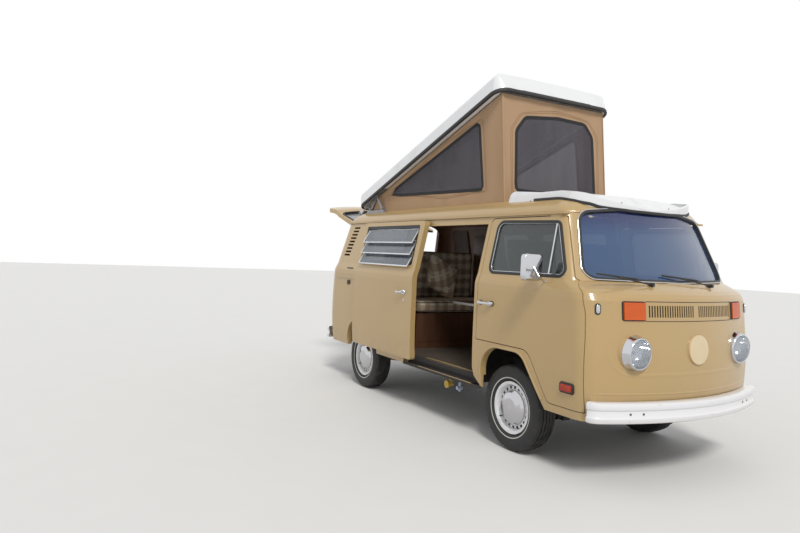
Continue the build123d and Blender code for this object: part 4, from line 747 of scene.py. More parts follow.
shells = lamp_pair("headlamp_shells", chrome, [
    (-80, 108), (-36, 117), (-30, 119), (-3, 109), (12, 106.5), (19, 104.5), (23, 101), (24.5, 97.5),
    (22, 94), (12, 92), (-30, 84), (-58, 62), (-76, 34), (-82, 14), (-82, 0)], 56)
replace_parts(shells, "headlamps")
lamp_pair("headlamp_lenses", lamp_glass,
          [(21, 95.5), (26, 90), (33, 72), (39, 52), (43, 34), (45.4, 16), (46, 0)], 48)
lamp_pair("headlamp_bulbs", chrome,
          [(-84, 15), (-60, 15), (-56, 11), (-34, 11), (-24, 8), (-20, 0)], 24)

# Turn signals, tail lamps and side markers: ribbed plastic lenses in black rubber beds, which are
# swept round the lamps on the nose and the tail, and low bosses on the cab doors.
amber = Paint("amber_lens", (0.75, 0.12, 0.002), 0.3, coat_weight=0.1, coat_roughness=0.05)
ribs = amber.maths("SINE", amber.axes("z")[0] * 900.0)
amber.put("Base Color", amber.mix(amber.step(ribs, -1.0, 1.0), (0.50, 0.055, 0.001), (0.80, 0.14, 0.002)))
amber.raise_by(ribs, 0.0015, 0.6)
dress(amber, "turn_signals")
tail_red = Paint("tail_lens", (0.5, 0.01, 0.01), 0.14, coat_weight=1.0, coat_roughness=0.05)
y, z = tail_red.axes("yz")
low_part = tail_red.mix(tail_red.step(z, 0.944, 0.945), (0.80, 0.80, 0.78), (0.50, 0.012, 0.010))
tail_red.put("Base Color", tail_red.mix(tail_red.step(z, 1.029, 1.030), low_part, (0.85, 0.16, 0.01)))
tail_red.raise_by(tail_red.maths("SINE", y * 1100.0), 0.0012, 0.6)
dress(tail_red, "tail_lamps")
marker_red = Paint("marker_lens", (0.45, 0.03, 0.004), 0.3, coat_weight=0.1, coat_roughness=0.05)
marker_red.raise_by(marker_red.maths("SINE", marker_red.axes("x")[0] * 1100.0), 0.0012, 0.5)
marker_red.mottled((0.36, 0.018, 0.003), (0.50, 0.032, 0.005), 20.0)
nose_skin = skin("front_panel")
tail_skin = skin("tail_panel", "side_left", "side_right")
for side, sign in SIDES.items():
    for name, tree, look, inner, outer, low, high, radius in (
        ("turn_signal_bed_", nose_skin, "front", 456, 614, 1070, 1188, 10),
        ("tail_lamp_bed_", tail_skin, "rear", 664, 788, 868, 1096, 14),
    ):
        edge = fill_in(boxed(sign * inner, low, sign * outer, high, radius), 20)
        trim(name + side, rubber, "body", tree, edge, look, bead(9, 7, 8))


def seat_one(tree, a, b, look):
    """The place and normal under one point."""
    return seat(tree, [(a, b)], look, smooth=0)[0]


def oblong(wide, high, radius):
    """Rounded rectangle about its own middle, in mm."""
    return fill_in(boxed(-wide / 2, -high / 2, wide / 2, high / 2, radius), 12)


def boss(bm, seated, size, height, off, upward=(0, 0, 1)):
    """Adds an oblong boss, its edge rounded by off, that starts 3 mm below its seat."""
    place, normal = seated
    across = Vector(upward).cross(normal).normalized()
    top = normal.cross(across)
    rows = []
    for inset, out in ((0, -3.0), (0, height - off), (off * 0.3, height - off * 0.3), (off, height)):
        row = []
        for a, b in oblong(*size):
            shrink = 1 - inset / math.hypot(a, b)
            row.append(bm.verts.new(place + (across * a * shrink + top * b * shrink + normal * out) / 1000))
        rows.append(row)
    cover(bm, rows)
    bm.faces.new(rows[0])
    bm.faces.new(rows[-1])
    bmesh.ops.recalc_face_normals(bm, faces=bm.faces[:])


def bosses(name, paint, body, slot, *each, upward=(0, 0, 1)):
    """A piece of bosses, each given as its seat, size, height and rounding."""
    bm = bmesh.new()
    for seated, size, height, off in each:
        boss(bm, seated, size, height, off, upward)
    return piece(bm, name, paint, body)


for side in SIDES:
    spot = seat_one(door_skins[side], 648, 606, side)
    bosses("side_marker_bed_" + side, rubber, "cab_door_" + side, "black_trim",
           (spot, (128, 72, 18), 11, 4))
    bosses("side_marker_lens_" + side, marker_red, "cab_door_" + side, "amber",
           (spot, (98, 46, 9), 19, 4))

# Nose: a dark gauze behind the grille's slots, a rubber line round the grille, and the pressed
# folds of the panel in its own enamel.
grille_skin = skin("air_grille")
bm = bmesh.new()
rows = []
for z in (1078, 1183):
    rim_seats = seat(grille_skin, [(y, z) for y in range(-440, 441, 20)], "front", closed=False)
    rows.append([bm.verts.new(place - normal * 0.004) for place, normal in rim_seats])
cover(bm, rows, closed=False)
bmesh.ops.solidify(bm, geom=bm.faces[:], thickness=0.001)
bmesh.ops.recalc_face_normals(bm, faces=bm.faces[:])
piece(bm, "grille_gauze", rubber, "body")
trim("grille_edge", rubber, "body", nose_skin, fill_in(boxed(-454, 1064, 454, 1192, 14), 30),
     "front", bead(4, 1.6, 2))
fold = rounded([(-716, 1214), (-716, 716), (716, 716), (716, 1214)], [50, 160, 160, 50], steps=12)
trim("nose_fold", trim_enamel, "body", nose_skin, fill_in(fold, 30), "front",
     [(-16, -3), (16, -3), (15, 0.2), (7, 1.7), (0, 2.2), (-7, 1.7), (-15, 0.2)])
trim("nose_low_fold", trim_enamel, "body", nose_skin,
     [(y, 592 + abs(y) * 0.006) for y in range(-800, 801, 40)], "front",
     [(-9, -3), (9, -3), (8, 0.5), (3, 2.6), (0, 3.0), (-3, 2.6), (-8, 0.5)], closed=False)

# Rain gutters: the folded steel edge over the doors, along both sides of the roof, in the roof's
# enamel. It is swept at one height over the panels that it crosses.
for side in SIDES:
    trim("rain_gutter_" + side, trim_enamel, "body",
         skin("roof", "side_" + side, "front_panel", "tail_panel"),
         [(x, 1779) for x in range(-3300, 561, 40)], side,
         [(-9, -6), (9, -6), (10, 4), (7, 9), (-1, 10), (-8, 7), (-10, 2)], closed=False)


# Cab door handles: chrome pulls with a push button, on black gaskets. The grip is a bar swept
# between two bosses, a little bowed.
def bowed(start, end, normal, low, rise):
    """Seats of a grip that stands low metres off the panel, and rise more in its middle."""
    return [(start.lerp(end, part / 8) + normal * (low + rise * math.sin(math.pi * part / 8)), normal)
            for part in range(9)]


for side in SIDES:
    rear = seat_one(door_skins[side], -316, 1085, side)
    front = seat_one(door_skins[side], -178, 1085, side)
    bm = bmesh.new()
    boss(bm, rear, (34, 30, 12), 24, 6)
    boss(bm, front, (48, 32, 14), 26, 6)
    sweep(bm, bowed(front[0], rear[0], rear[1], 0.024, 0.006),
          [(-10, -5), (10, -5), (11, 0), (8, 5), (0, 7), (-8, 5), (-11, 0)], closed=False)
    spun(bm, [(24, 0), (24, 8.5), (30, 8.5), (32, 7), (32, 0)], front[0], rear[1], 20)
    piece(bm, "cab_door_handle_" + side, chrome, "cab_door_" + side)
    bosses("cab_door_handle_gaskets_" + side, rubber, "cab_door_" + side, "black_trim",
           (rear, (44, 40, 16), 3, 1.5), (front, (58, 42, 18), 3, 1.5))

# Sliding door: a chrome lever handle with a lock below it, both fixed to the door's outer skin.
# The lever is bowed like the cab doors' grips.
slide_skin = skin("sliding_door")
root = seat_one(slide_skin, -1384, 1088, "right")
tip = seat_one(slide_skin, -1500, 1084, "right")
lock = seat_one(slide_skin, -1378, 1015, "right")
bm = bmesh.new()
boss(bm, root, (56, 46, 20), 14, 5)
sweep(bm, bowed(root[0], tip[0], root[1], 0.022, 0.010),
      [(-11, -5), (11, -5), (12, 0), (8, 6), (0, 8), (-8, 6), (-12, 0)], closed=False)
spun(bm, [(-2, 14), (4, 14), (6, 12), (6, 3), (4, 2), (4, 0)], *lock, 24)
piece(bm, "sliding_door_handle", chrome, "body")

# Small fittings: the oval socket cover and the door rail's black end cap on the right side, and an
# oval chrome air outlet on each side of the nose. All are low bosses on the panels.
bosses("side_socket_cover", rubber, "body", "black_trim",
       (seat_one(side_skins["right"], -2740, 1103, "right"), (74, 50, 24), 9, 3),
       (seat_one(side_skins["right"], -2732, 1260, "right"), (150, 13, 6), 4, 1.5))
for side in SIDES:
    spot = seat_one(skin("front_panel", "cab_door_" + side), 802, 1136, side)
    bosses("nose_side_outlet_bed_" + side, rubber, "body", "black_trim", (spot, (40, 74, 19), 4, 2))
    bosses("nose_side_outlet_" + side, chrome, "body", "chrome", (spot, (26, 58, 12.5), 11, 5))

# Wheel arch lips: the panel's own edge rolled outward. They are swept in the panel's enamel along
# the arches' outlines.
for side in SIDES:
    arch_skin = skin("side_" + side, "front_panel")
    for name, line, radii in (
        ("front", [(-294, 520), (-294, 768), (188, 768), (400, 474)], [0, 206, 156, 0]),
        ("rear", [(-2754, 470), (-2754, 709), (-2046, 709), (-2046, 470)], [0, 236, 236, 0]),
    ):
        line = fill_in(rounded(line, radii, closed=False, steps=14), 30, False)
        trim(name + "_arch_lip_" + side, trim_enamel, "body", arch_skin, line, side,
             bead(19, 8, 7), closed=False)


# Lifting roof's edge: a black rubber seal pushed over the moulding's lower rim all round. It is
# swept flat and then raised with the roof.
def about(place, turn):
    """A turn about a place."""
    return Matrix.Translation(place) @ turn @ Matrix.Translation(-place)


rim_loop = fill_in(boxed(-2993, -654, -312, 654, 120, steps=10), 90)
seats = []
for index, (x, y) in enumerate(rim_loop):
    run = (Vector(rim_loop[(index + 1) % len(rim_loop)]) - Vector(rim_loop[index - 1])).normalized()
    seats.append((at(x, y, 1919.5), Vector((run.y, -run.x, 0))))
bm = bmesh.new()
sweep(bm, seats, [(-14, -18), (14, -18), (15, -2), (15, 3), (9, 6.5), (-9, 6.5), (-15, 3), (-15, -2)])
lift_turn = about(at(-3090, 0, 1898), Matrix.Rotation(math.radians(-19.1), 4, "Y"))
bmesh.ops.transform(bm, matrix=lift_turn, verts=bm.verts[:])
piece(bm, "lifting_roof_seal", rubber, "lifting_roof")

# Luggage tray's edge: a black rubber strip under the moulding's rim, front and sides, found by
# rays from below along spokes, and small screws that hold the moulding.
tray_skin = skin("luggage_tray")
TRAY_BACK = axle_x - 0.275
seats = []
for step in range(-64, 65):
    turn_angle = math.radians(step * 1.55)
    heading = Vector((math.cos(turn_angle), math.sin(turn_angle), 0))
    for part in range(170):
        spot = at(100, 0, 0) + heading * (0.90 - part * 0.004)
        inner = spot - heading * 0.010
        under = tray_skin.ray_cast(Vector((inner.x, inner.y, 1.2)), Vector((0, 0, 1)))[0]
        if under is not None:
            if spot.x > TRAY_BACK:
                seats.append((Vector((spot.x, spot.y, under.z + 0.004)) - heading * 0.006, heading))
            break
for smoothing in range(6):
    seats = ([seats[0]] + [((before[0] + here[0] * 2 + after[0]) / 4, here[1])
                           for before, here, after in zip(seats, seats[1:], seats[2:])] + [seats[-1]])
bm = bmesh.new()
sweep(bm, seats, [(-10, -4), (10, -4), (11, 3), (8, 7), (0, 8), (-8, 7), (-11, 3)], closed=False)
piece(bm, "luggage_tray_seal", rubber, "body")
bm = bmesh.new()
for x, y in ((470, -250), (488, 180), (310, -600), (310, 600), (-40, -640), (-40, 640)):
    place, normal = tray_skin.find_nearest(at(x * 1.14, y * 1.14, 1885))[:2]
    spun(bm, [(-2, 0), (-2, 6), (1.5, 6), (3.5, 4), (3.5, 0)], place, normal, 12)
piece(bm, "luggage_tray_screws", bolt_steel, "body")

# Tent: tan cotton canvas in four walls, laced to the lifting roof and screwed down round the roof
# hole. Each wall is its own mesh, made in rings from its outer edge in to its window, and hangs in
# a little by the weave's own weight.
canvas = Paint("tan_canvas", (0.42, 0.27, 0.155), 0.85)
weave = canvas.noise(420.0, 2.0)
faint = canvas.step(canvas.noise(5.0, 5.0, (1.0, 1.0, 0.2)), 0.45, 0.75) * 0.3
faded = canvas.mix(canvas.noise(2.4, 5.0), (0.40, 0.255, 0.145), (0.47, 0.31, 0.19))
canvas.put("Base Color", canvas.mix(faint, faded, (0.33, 0.21, 0.12)))
canvas.put("Roughness", 0.80 + weave * 0.15)
canvas.raise_by(canvas.noise(9.0, 4.0, (1.0, 1.0, 0.25)), 0.012, 0.35)
canvas.raise_by(weave, 0.0008, 0.4)
mesh_cloth = Paint("window_mesh", (0.06, 0.055, 0.07), 0.7)
x, y, z = mesh_cloth.axes()
thread = mesh_cloth.maths("SINE", z * 2600.0) * mesh_cloth.maths("SINE", (x + y) * 2600.0)
mesh_cloth.mottled((0.035, 0.033, 0.045), (0.11, 0.10, 0.12), 7.0, 4.0, (1.0, 1.0, 0.15))
mesh_cloth.put("Alpha", 0.80 + thread * 0.14)
mesh_cloth.raise_by(mesh_cloth.noise(11.0, 3.0, (1.0, 1.0, 0.12)), 0.010, 0.5)
binding = Paint("black_binding", (0.012, 0.012, 0.014), 0.7).worn(0.65, 0.2, 300.0)
thread_tan = Paint("seam_thread", (0.26, 0.16, 0.085), 0.85).worn(0.8, 0.15, 300.0)
SPOKES = 120
CANVAS_RINGS = 14
MESH_RINGS = 9
TENT_HALF = 580
TENT_FOOT = 1866
TENT_TOP = 2802


def meet(loop, centre, angle):
    """Where a ray from the centre leaves a polygon."""
    heading = Vector((math.cos(angle), math.sin(angle)))
    best = None
    for index in range(len(loop)):
        a = Vector(loop[index - 1]) - centre
        b = Vector(loop[index]) - centre
        edge = b - a
        cross = heading.x * edge.y - heading.y * edge.x
        if abs(cross) < 1e-9:
            continue
        along = (a.x * edge.y - a.y * edge.x) / cross
        portion = (a.x * heading.y - a.y * heading.x) / cross
        if along > 0 and -1e-6 <= portion <= 1 + 1e-6 and (best is None or along < best):
            best = along
    return centre + heading * best


def cloth(bm, name, paint, outward):
    """Makes a piece of a finished cloth bmesh, its faces turned outward."""
    bmesh.ops.recalc_face_normals(bm, faces=bm.faces[:])
    if sum(face.normal.dot(outward) for face in bm.faces) < 0:
        bmesh.ops.reverse_faces(bm, faces=bm.faces[:])
    return piece(bm, name, paint, "body", sharp=60)


def wall(name, outline, opening, to_space, outward, sag):
    """A tent wall with a window: its canvas, the mesh, the binding round it and its seams."""
    middle = sum((Vector(p) for p in opening), Vector((0, 0))) / len(opening)
    angles = [2 * math.pi * step / SPOKES for step in range(SPOKES)]
    for corner in outline:
        arm = Vector(corner) - middle
        exact = math.atan2(arm.y, arm.x) % (2 * math.pi)
        near = min(range(SPOKES), key=lambda i: abs(math.remainder(angles[i] - exact, 2 * math.pi)))
        angles[near] = exact
    inner = [meet(opening, middle, angle) for angle in angles]
    outer = [meet(outline, middle, angle) for angle in angles]

    def hung(flat, t, lift=0.0):
        """Where a point hangs, t of the way from the outer edge to the window."""
        ripple = 2.5 * math.sin(flat.x * 0.021 + 1.3 * math.sin(flat.y * 0.006)) * math.sin(math.pi * t)
        hollow = sag * math.sin(math.pi * t * 0.5) ** 2 + ripple
        return to_space(flat) - outward * (hollow - lift) / 1000

    bm = bmesh.new()
    rows = []
    for ring in range(CANVAS_RINGS + 1):
        t = ring / CANVAS_RINGS
        rows.append([bm.verts.new(hung(a.lerp(b, t), t)) for a, b in zip(outer, inner)])
    cover(bm, rows)
    edge_row = [vert.co.copy() for vert in rows[-1]]
    made = [cloth(bm, name + "_canvas", canvas, outward)]
    bm = bmesh.new()
    rows = []
    centre_place = to_space(middle) - outward * (sag + 6) / 1000
    for ring in range(MESH_RINGS):
        t = ring / MESH_RINGS
        rows.append([])
        for place, rim in zip(edge_row, inner):
            flat = rim.lerp(middle, t)
            fold = (3.0 * math.sin(flat.x * 0.045 + 0.8 * math.sin(flat.y * 0.01))
                    + 2.0 * math.sin(flat.x * 0.11)) * min(1.0, 3 * t)
            rows[-1].append(bm.verts.new(place.lerp(centre_place, t) - outward * fold / 1000))
    cover(bm, rows)
    hub = bm.verts.new(centre_place)
    for one, two in zip(rows[-1], rows[-1][1:] + rows[-1][:1]):
        bm.faces.new((one, two, hub))
    made.append(cloth(bm, name + "_mesh", mesh_cloth, outward))
    bm = bmesh.new()
    sweep(bm, [(place, outward) for place in edge_row],
          [(-14, -1), (14, -1), (15, 1), (13, 3), (-13, 3), (-15, 1)])
    made.append(piece(bm, name + "_binding", binding, "body"))
    bm = bmesh.new()
    for away in (46, 62):
        seats = []
        for a, b in zip(inner, outer):
            t = min(away / (b - a).length, 0.8)
            seats.append((hung(a.lerp(b, t), 1 - t, 0.6), outward))
        sweep(bm, seats, [(-1.4, -1), (1.4, -1), (1.6, 0.4), (0, 1.2), (-1.6, 0.4)])
    made.append(piece(bm, name + "_seams", thread_tan, "body"))
    return made


front_lean = (513 - 420) / (2805 - 1860)
front_window = rounded(
    [(-452, 2006), (454, 2006), (446, 2560), (360, 2668), (40, 2676), (-330, 2636), (-434, 2510)],
    [40, 40, 90, 60, 300, 80, 90])
front_outline = [(-TENT_HALF, TENT_FOOT), (TENT_HALF, TENT_FOOT), (TENT_HALF, TENT_TOP),
                 (-TENT_HALF, TENT_TOP)]
walls = wall("tent_front", front_outline, front_window,
             lambda p: at(-420 - (p.y - 1860) * front_lean, p.x, p.y),
             Vector((1, 0, front_lean)).normalized(), 9.0)
side_outline = [(-2820, 2003), (-2800, TENT_FOOT), (-422, TENT_FOOT), (-513, TENT_TOP)]
side_window = rounded([(-2471, 2066), (-737, 2020), (-828, 2611)], [26, 30, 40])
for side, sign in SIDES.items():
    walls += wall("tent_" + side, side_outline, side_window, lambda p: at(p.x, sign * TENT_HALF, p.y),
                  Vector((0, sign, 0)), 10.0)
bm = bmesh.new()
rows = []
for step in range(9):
    t = step / 8
    x = -2800 - 20 * t + 4 * math.sin(math.pi * t)
    rows.append([bm.verts.new(at(x, TENT_HALF * (part / 12 - 1), TENT_FOOT + 137 * t))
                 for part in range(25)])
cover(bm, rows, closed=False)
tent_rear = cloth(bm, "tent_rear_canvas", canvas, Vector((-1, 0, 0)))
bm = bmesh.new()
for sign in SIDES.values():
    seats = [(at(-419 - 93 * part / 12, sign * (TENT_HALF + 1), TENT_FOOT + 936 * part / 12),
              Vector((1, sign, 0)).normalized()) for part in range(13)]
    sweep(bm, seats, [(-9, -4), (9, -4), (8, -1), (3, 2.2), (0, 2.8), (-3, 2.2), (-8, -1)], closed=False)
tent_corners = piece(bm, "tent_corner_folds", canvas, "body")
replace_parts(walls[0], "tent")
for thing in walls + [tent_rear, tent_corners]:
    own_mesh(thing)


def flat_area(outline):
    """Area in square metres of an outline in millimetres."""
    before = outline[-1:] + outline[:-1]
    return abs(sum(a[0] * b[1] - b[0] * a[1] for a, b in zip(before, outline))) / 2e6


front_area = flat_area([(-580, 1866), (580, 1866), (580, 2807), (-580, 2807)])
front_area - flat_area(front_window)
flat_area(front_window)
for first in (4, 8):
    flat_area(side_outline) - flat_area(side_window)
    flat_area(side_window)

# Floor: black-brown mat on top and black below. The entrance has tan steel edge strips and a
# ribbed black rubber mat on its step, all bevelled bars.
floor_mat = Paint("floor_mat", (0.06, 0.05, 0.04), 0.8)
upright = floor_mat.apart(floor_mat.normal())[2]
walked = floor_mat.noise(5.0, 6.0)
mat_tone = floor_mat.mix(walked, (0.045, 0.036, 0.028), (0.13, 0.10, 0.075))
floor_mat.put("Base Color", floor_mat.mix(
    floor_mat.step(upright, 0.5, 0.6), (0.03, 0.028, 0.026), mat_tone))
floor_mat.put("Roughness", 0.62 + walked * 0.3)
floor_mat.raise_by(floor_mat.maths("SINE", floor_mat.axes("y")[0] * 700.0), 0.0016, 0.5)
dress(floor_mat, "floor")


def slab(bm, low, high, round_off=2.0, turn=None):
    """Adds a bevelled box from low to high, in millimetres from the front axle."""
    low, high = Vector(low), Vector(high)
    middle = (low + high) / 2
    place = (Matrix.Translation(at(*middle)) @ (turn or Matrix.Identity(4))
             @ Matrix.Diagonal((*((high - low) / 1000), 1)))
    made = bmesh.ops.create_cube(bm, size=1.0, matrix=place)["verts"]
    edges = list({edge for vert in made for edge in vert.link_edges})
    bmesh.ops.bevel(bm, geom=edges, offset=round_off / 1000, offset_type="OFFSET", segments=3,
                    profile=0.5, affect="EDGES", material=-1)


bm = bmesh.new()
slab(bm, (-1226, -762, 497), (-420, -742, 503), 1.5)
slab(bm, (-1226, -846, 424), (-420, -836, 430), 1.5)
piece(bm, "sill_edge_strips", trim_enamel, "body")
bm = bmesh.new()
slab(bm, (-1224, -834, 412), (-422, -745, 426), 1.5)
for y in range(-824, -750, 12):
    slab(bm, (-1222, y - 3, 424), (-424, y + 3, 429), 1.5)
piece(bm, "entrance_step_mat", rubber, "body")

# Wood furniture: dark walnut laminate, its grain upright, on the kitchen, wardrobe and bench. The
# fronts are bevelled boards, and the panels behind the rear air slots are set inside the walls.
WALNUT_TONES = ((0.055, 0.022, 0.012), (0.155, 0.070, 0.036))
walnut = Paint("walnut_laminate", (0.11, 0.05, 0.026), 0.42)
grain = walnut.noise(5.0, 8.0, (6.0, 6.0, 0.6))
walnut.put("Base Color", walnut.mix(grain, *WALNUT_TONES))
walnut.put("Roughness", 0.34 + grain * 0.22)
walnut.raise_by(grain, 0.0006, 0.25)
dress(walnut, "wardrobe", "bench")
worktop = Paint("kitchen_carcase", (0.11, 0.05, 0.026), 0.42)
grain = worktop.noise(5.0, 8.0, (6.0, 6.0, 0.6))
top_here = worktop.step(*worktop.axes("z"), 1.156, 1.157)
worktop.put("Base Color", worktop.mix(top_here, worktop.mix(grain, *WALNUT_TONES), (0.62, 0.58, 0.50)))
worktop.put("Roughness", 0.36 + grain * 0.15)
dress(worktop, "kitchen_cabinet")
bm = bmesh.new()
for rear, front, low, high in (
    (-1548, -1200, 540, 1140), (-1190, -850, 540, 900), (-1190, -850, 912, 1140),
    (-840, -492, 540, 1140),
):
    slab(bm, (rear, 386, low), (front, 402, high), 3)
slab(bm, (-2362, 556, 1060), (-2024, 570, 1684), 3)
slab(bm, (-1768, -540, 560), (-1756, 520, 838), 3)
piece(bm, "cabinet_fronts", walnut, "body")
for side in SIDES:
    bm = bmesh.new()
    rows = []
    for z in range(1376, 1761, 48):
        ends = seat(side_skins[side], [(-3010, z), (-2690, z)], side, closed=False)
        rows.append([bm.verts.new(place - normal * 0.064) for place, normal in ends])
    cover(bm, rows, closed=False)
    bmesh.ops.solidify(bm, geom=bm.faces[:], thickness=0.003)
    bmesh.ops.recalc_face_normals(bm, faces=bm.faces[:])
    piece(bm, "air_duct_panel_" + side, walnut, "body")

# Kitchen fittings: brushed steel knobs, sink, burner rings on their plate and a tap, turned and
# set on the cabinet's fronts and worktop.
steel = Paint("brushed_steel", (0.55, 0.55, 0.56), 0.3, 1.0).worn(0.22, 0.2, 14.0, 4.0, (1.0, 12.0, 12.0))
UP = (0, 0, 1)
WORKTOP_Z = 1180
bm = bmesh.new()
for x, y, z in ((-1230, 386, 860), (-1020, 386, 860), (-1020, 386, 1026), (-810, 386, 860),
                (-2050, 556, 1360)):
    spun(bm, [(-4, 7), (0, 7), (4, 4.5), (12, 5), (16, 12), (20, 12), (22, 8), (22, 0)], at(x, y, z),
         (0, -1, 0), 20)
spun(bm, [(-6, 150), (2, 150), (4, 146), (1, 140), (-8, 134), (-14, 60), (-15, 0)],
     at(-1360, 585, WORKTOP_Z + 1.5), UP, 40)
for ring in (66, 44, 22):
    spun(bm, [(1, ring + 4), (6, ring + 4), (6, ring - 1), (1, ring - 1)],
         at(-760, 570, WORKTOP_Z + 1.5), UP, 32, closed=True)
slab(bm, (-900, 440, WORKTOP_Z - 2), (-620, 700, WORKTOP_Z + 4), 2)
spun(bm, [(0, 16), (8, 16), (10, 9), (120, 8), (124, 6), (124, 0)], at(-1190, 630, WORKTOP_Z), UP, 16)
slab(bm, (-1310, 622, WORKTOP_Z + 106), (-1180, 638, WORKTOP_Z + 120), 6)
piece(bm, "kitchen_fittings", steel, "body")

# Table: laminate top with a white moulded edge, on a plated post. Edge and post are told apart
# by the faces' direction and height.
table_paint = Paint("table_laminate", (0.13, 0.06, 0.03), 0.35)
flatness = table_paint.maths("ABSOLUTE", table_paint.apart(table_paint.normal())[2])
post = table_paint.step(*table_paint.axes("z"), 0.976, 0.974)
edge_here = table_paint.step(flatness, 0.6, 0.5) * (1.0 - post)
grain = table_paint.noise(5.0, 8.0, (0.8, 8.0, 8.0))
wood = table_paint.mix(grain, (0.07, 0.03, 0.016), (0.20, 0.095, 0.05))
wood = table_paint.mix(post, wood, (0.6, 0.6, 0.6))
table_paint.put("Base Color", table_paint.mix(edge_here, wood, (0.72, 0.71, 0.69)))
table_paint.put("Metallic", post)
table_paint.put("Roughness", 0.30 + grain * 0.15)
dress(table_paint, "table")

# Cushions: foam blocks in a beige and brown plaid, piped at the edges. Their faces swell between
# rounded edges.
plaid = Paint("plaid_cloth", (0.5, 0.42, 0.3), 0.9)
x, y, z = plaid.axes()


def stripes(value, pitch, shift, wide):
    """Where the stripes of one width and spacing lie, as a mask."""
    wave = plaid.maths("COSINE", (value + shift) * (2 * math.pi / pitch))
    edge = math.cos(math.pi * wide / pitch)
    return plaid.step(wave, edge - 0.02, edge + 0.02)


cloth_tone = plaid.mix(plaid.noise(6.0), (0.70, 0.60, 0.44), (0.80, 0.70, 0.53))
for value in (y, x * 0.9 + z):
    cloth_tone = plaid.mix(stripes(value, 0.11, 0.0, 0.045) * 0.5, cloth_tone, (0.24, 0.14, 0.085))
    cloth_tone = plaid.mix(stripes(value, 0.11, 0.055, 0.012) * 0.75, cloth_tone, (0.75, 0.70, 0.60))
    cloth_tone = plaid.mix(stripes(value, 0.22, 0.028, 0.006) * 0.8, cloth_tone, (0.05, 0.03, 0.02))
nap = plaid.noise(500.0, 2.0)
plaid.put("Base Color", cloth_tone)
plaid.put("Roughness", 0.82 + nap * 0.15)
plaid.raise_by(nap, 0.0008, 0.4)
plaid.raise_by(plaid.noise(8.0, 3.0), 0.010, 0.2)
piping = Paint("brown_piping", (0.09, 0.045, 0.025), 0.8).worn(0.75, 0.2, 300.0)
BENCH_SEAT = ((-2380, -560, 851), (-1740, 560, 980))
BENCH_BACK = ((-2500, -560, 963), (-2381, 560, 1482))


def pillow(name, low, high, paint, slot, swell=10.0, edge=34.0, turn=None, pleats=0):
    """A padded block: rounded edges, and faces that swell towards their middles."""
    low, high = Vector(low), Vector(high)
    half = (high - low) / 2
    middle = (high + low) / 2
    thin = min(range(3), key=lambda axis: half[axis])
    first, second = [axis for axis in range(3) if axis != thin]
    half[thin] -= swell
    edge = min(edge, half[thin] * 0.96)
    bm = bmesh.new()
    bmesh.ops.create_cube(bm, size=2.0)
    bmesh.ops.subdivide_edges(bm, edges=bm.edges[:], cuts=19, use_grid_fill=True)
    for vert in bm.verts:
        u = [math.sin(vert.co[axis] * math.pi / 2) for axis in range(3)]
        flat = Vector([u[axis] * half[axis] for axis in range(3)])
        core = Vector([max(edge - half[axis], min(half[axis] - edge, flat[axis])) for axis in range(3)])
        away = flat - core
        place = core + away.normalized() * edge if away.length > 1e-6 else flat
        dome = (1 - u[first] ** 4) * (1 - u[second] ** 4)
        lift = swell * dome
        if pleats:
            lift -= 5.0 * dome * abs(math.cos(math.pi * pleats * u[1] / 2)) ** 14
        place[thin] += lift * (1 if u[thin] > 0 else -1) * abs(u[thin]) ** 3
        vert.co = place / 1000
    home = (turn or Matrix.Identity(4)) @ Matrix.Translation(at(*middle))
    bmesh.ops.transform(bm, matrix=home, verts=bm.verts[:])
    bmesh.ops.recalc_face_normals(bm, faces=bm.faces[:])
    made = piece(bm, name, paint, "body", sharp=80)
    return made


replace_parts(pillow("bench_seat_pad", *BENCH_SEAT, plaid, "plaid"), "bench_cushions")
pillow("bench_back_pad", *BENCH_BACK, plaid, "plaid")
pillow("deck_pad", (-3190, -560, 963), (-2502, 560, 1052), plaid, "plaid", 8.0, 28.0)
loose_turn = about(at(-2100, -60, 1210), Matrix.Rotation(math.radians(-26), 4, "X")
                   @ Matrix.Rotation(math.radians(-24), 4, "Y"))
pillow("loose_cushion", (-2160, -250, 1020), (-2040, 130, 1400), plaid, "plaid", 22.0, 26.0, loose_turn)
bm = bmesh.new()
for (low, high), thin, face_way in ((BENCH_SEAT, 2, (0, 0, 1)), (BENCH_BACK, 0, (1, 0, 0))):
    first, second = [axis for axis in range(3) if axis != thin]
    loop = fill_in(boxed(low[first] + 6, low[second] + 6, high[first] - 6, high[second] - 6, 26), 60)
    for level in (low[thin] + 22, high[thin] - 22):
        seats = []
        for a, b in loop:
            spot = {thin: level, first: a, second: b}
            seats.append((at(spot[0], spot[1], spot[2]), Vector(face_way)))
        sweep(bm, seats, [(math.cos(math.pi * k / 4) * 4.5, math.sin(math.pi * k / 4) * 4.5)
                          for k in range(8)])
piece(bm, "cushion_piping", piping, "body")

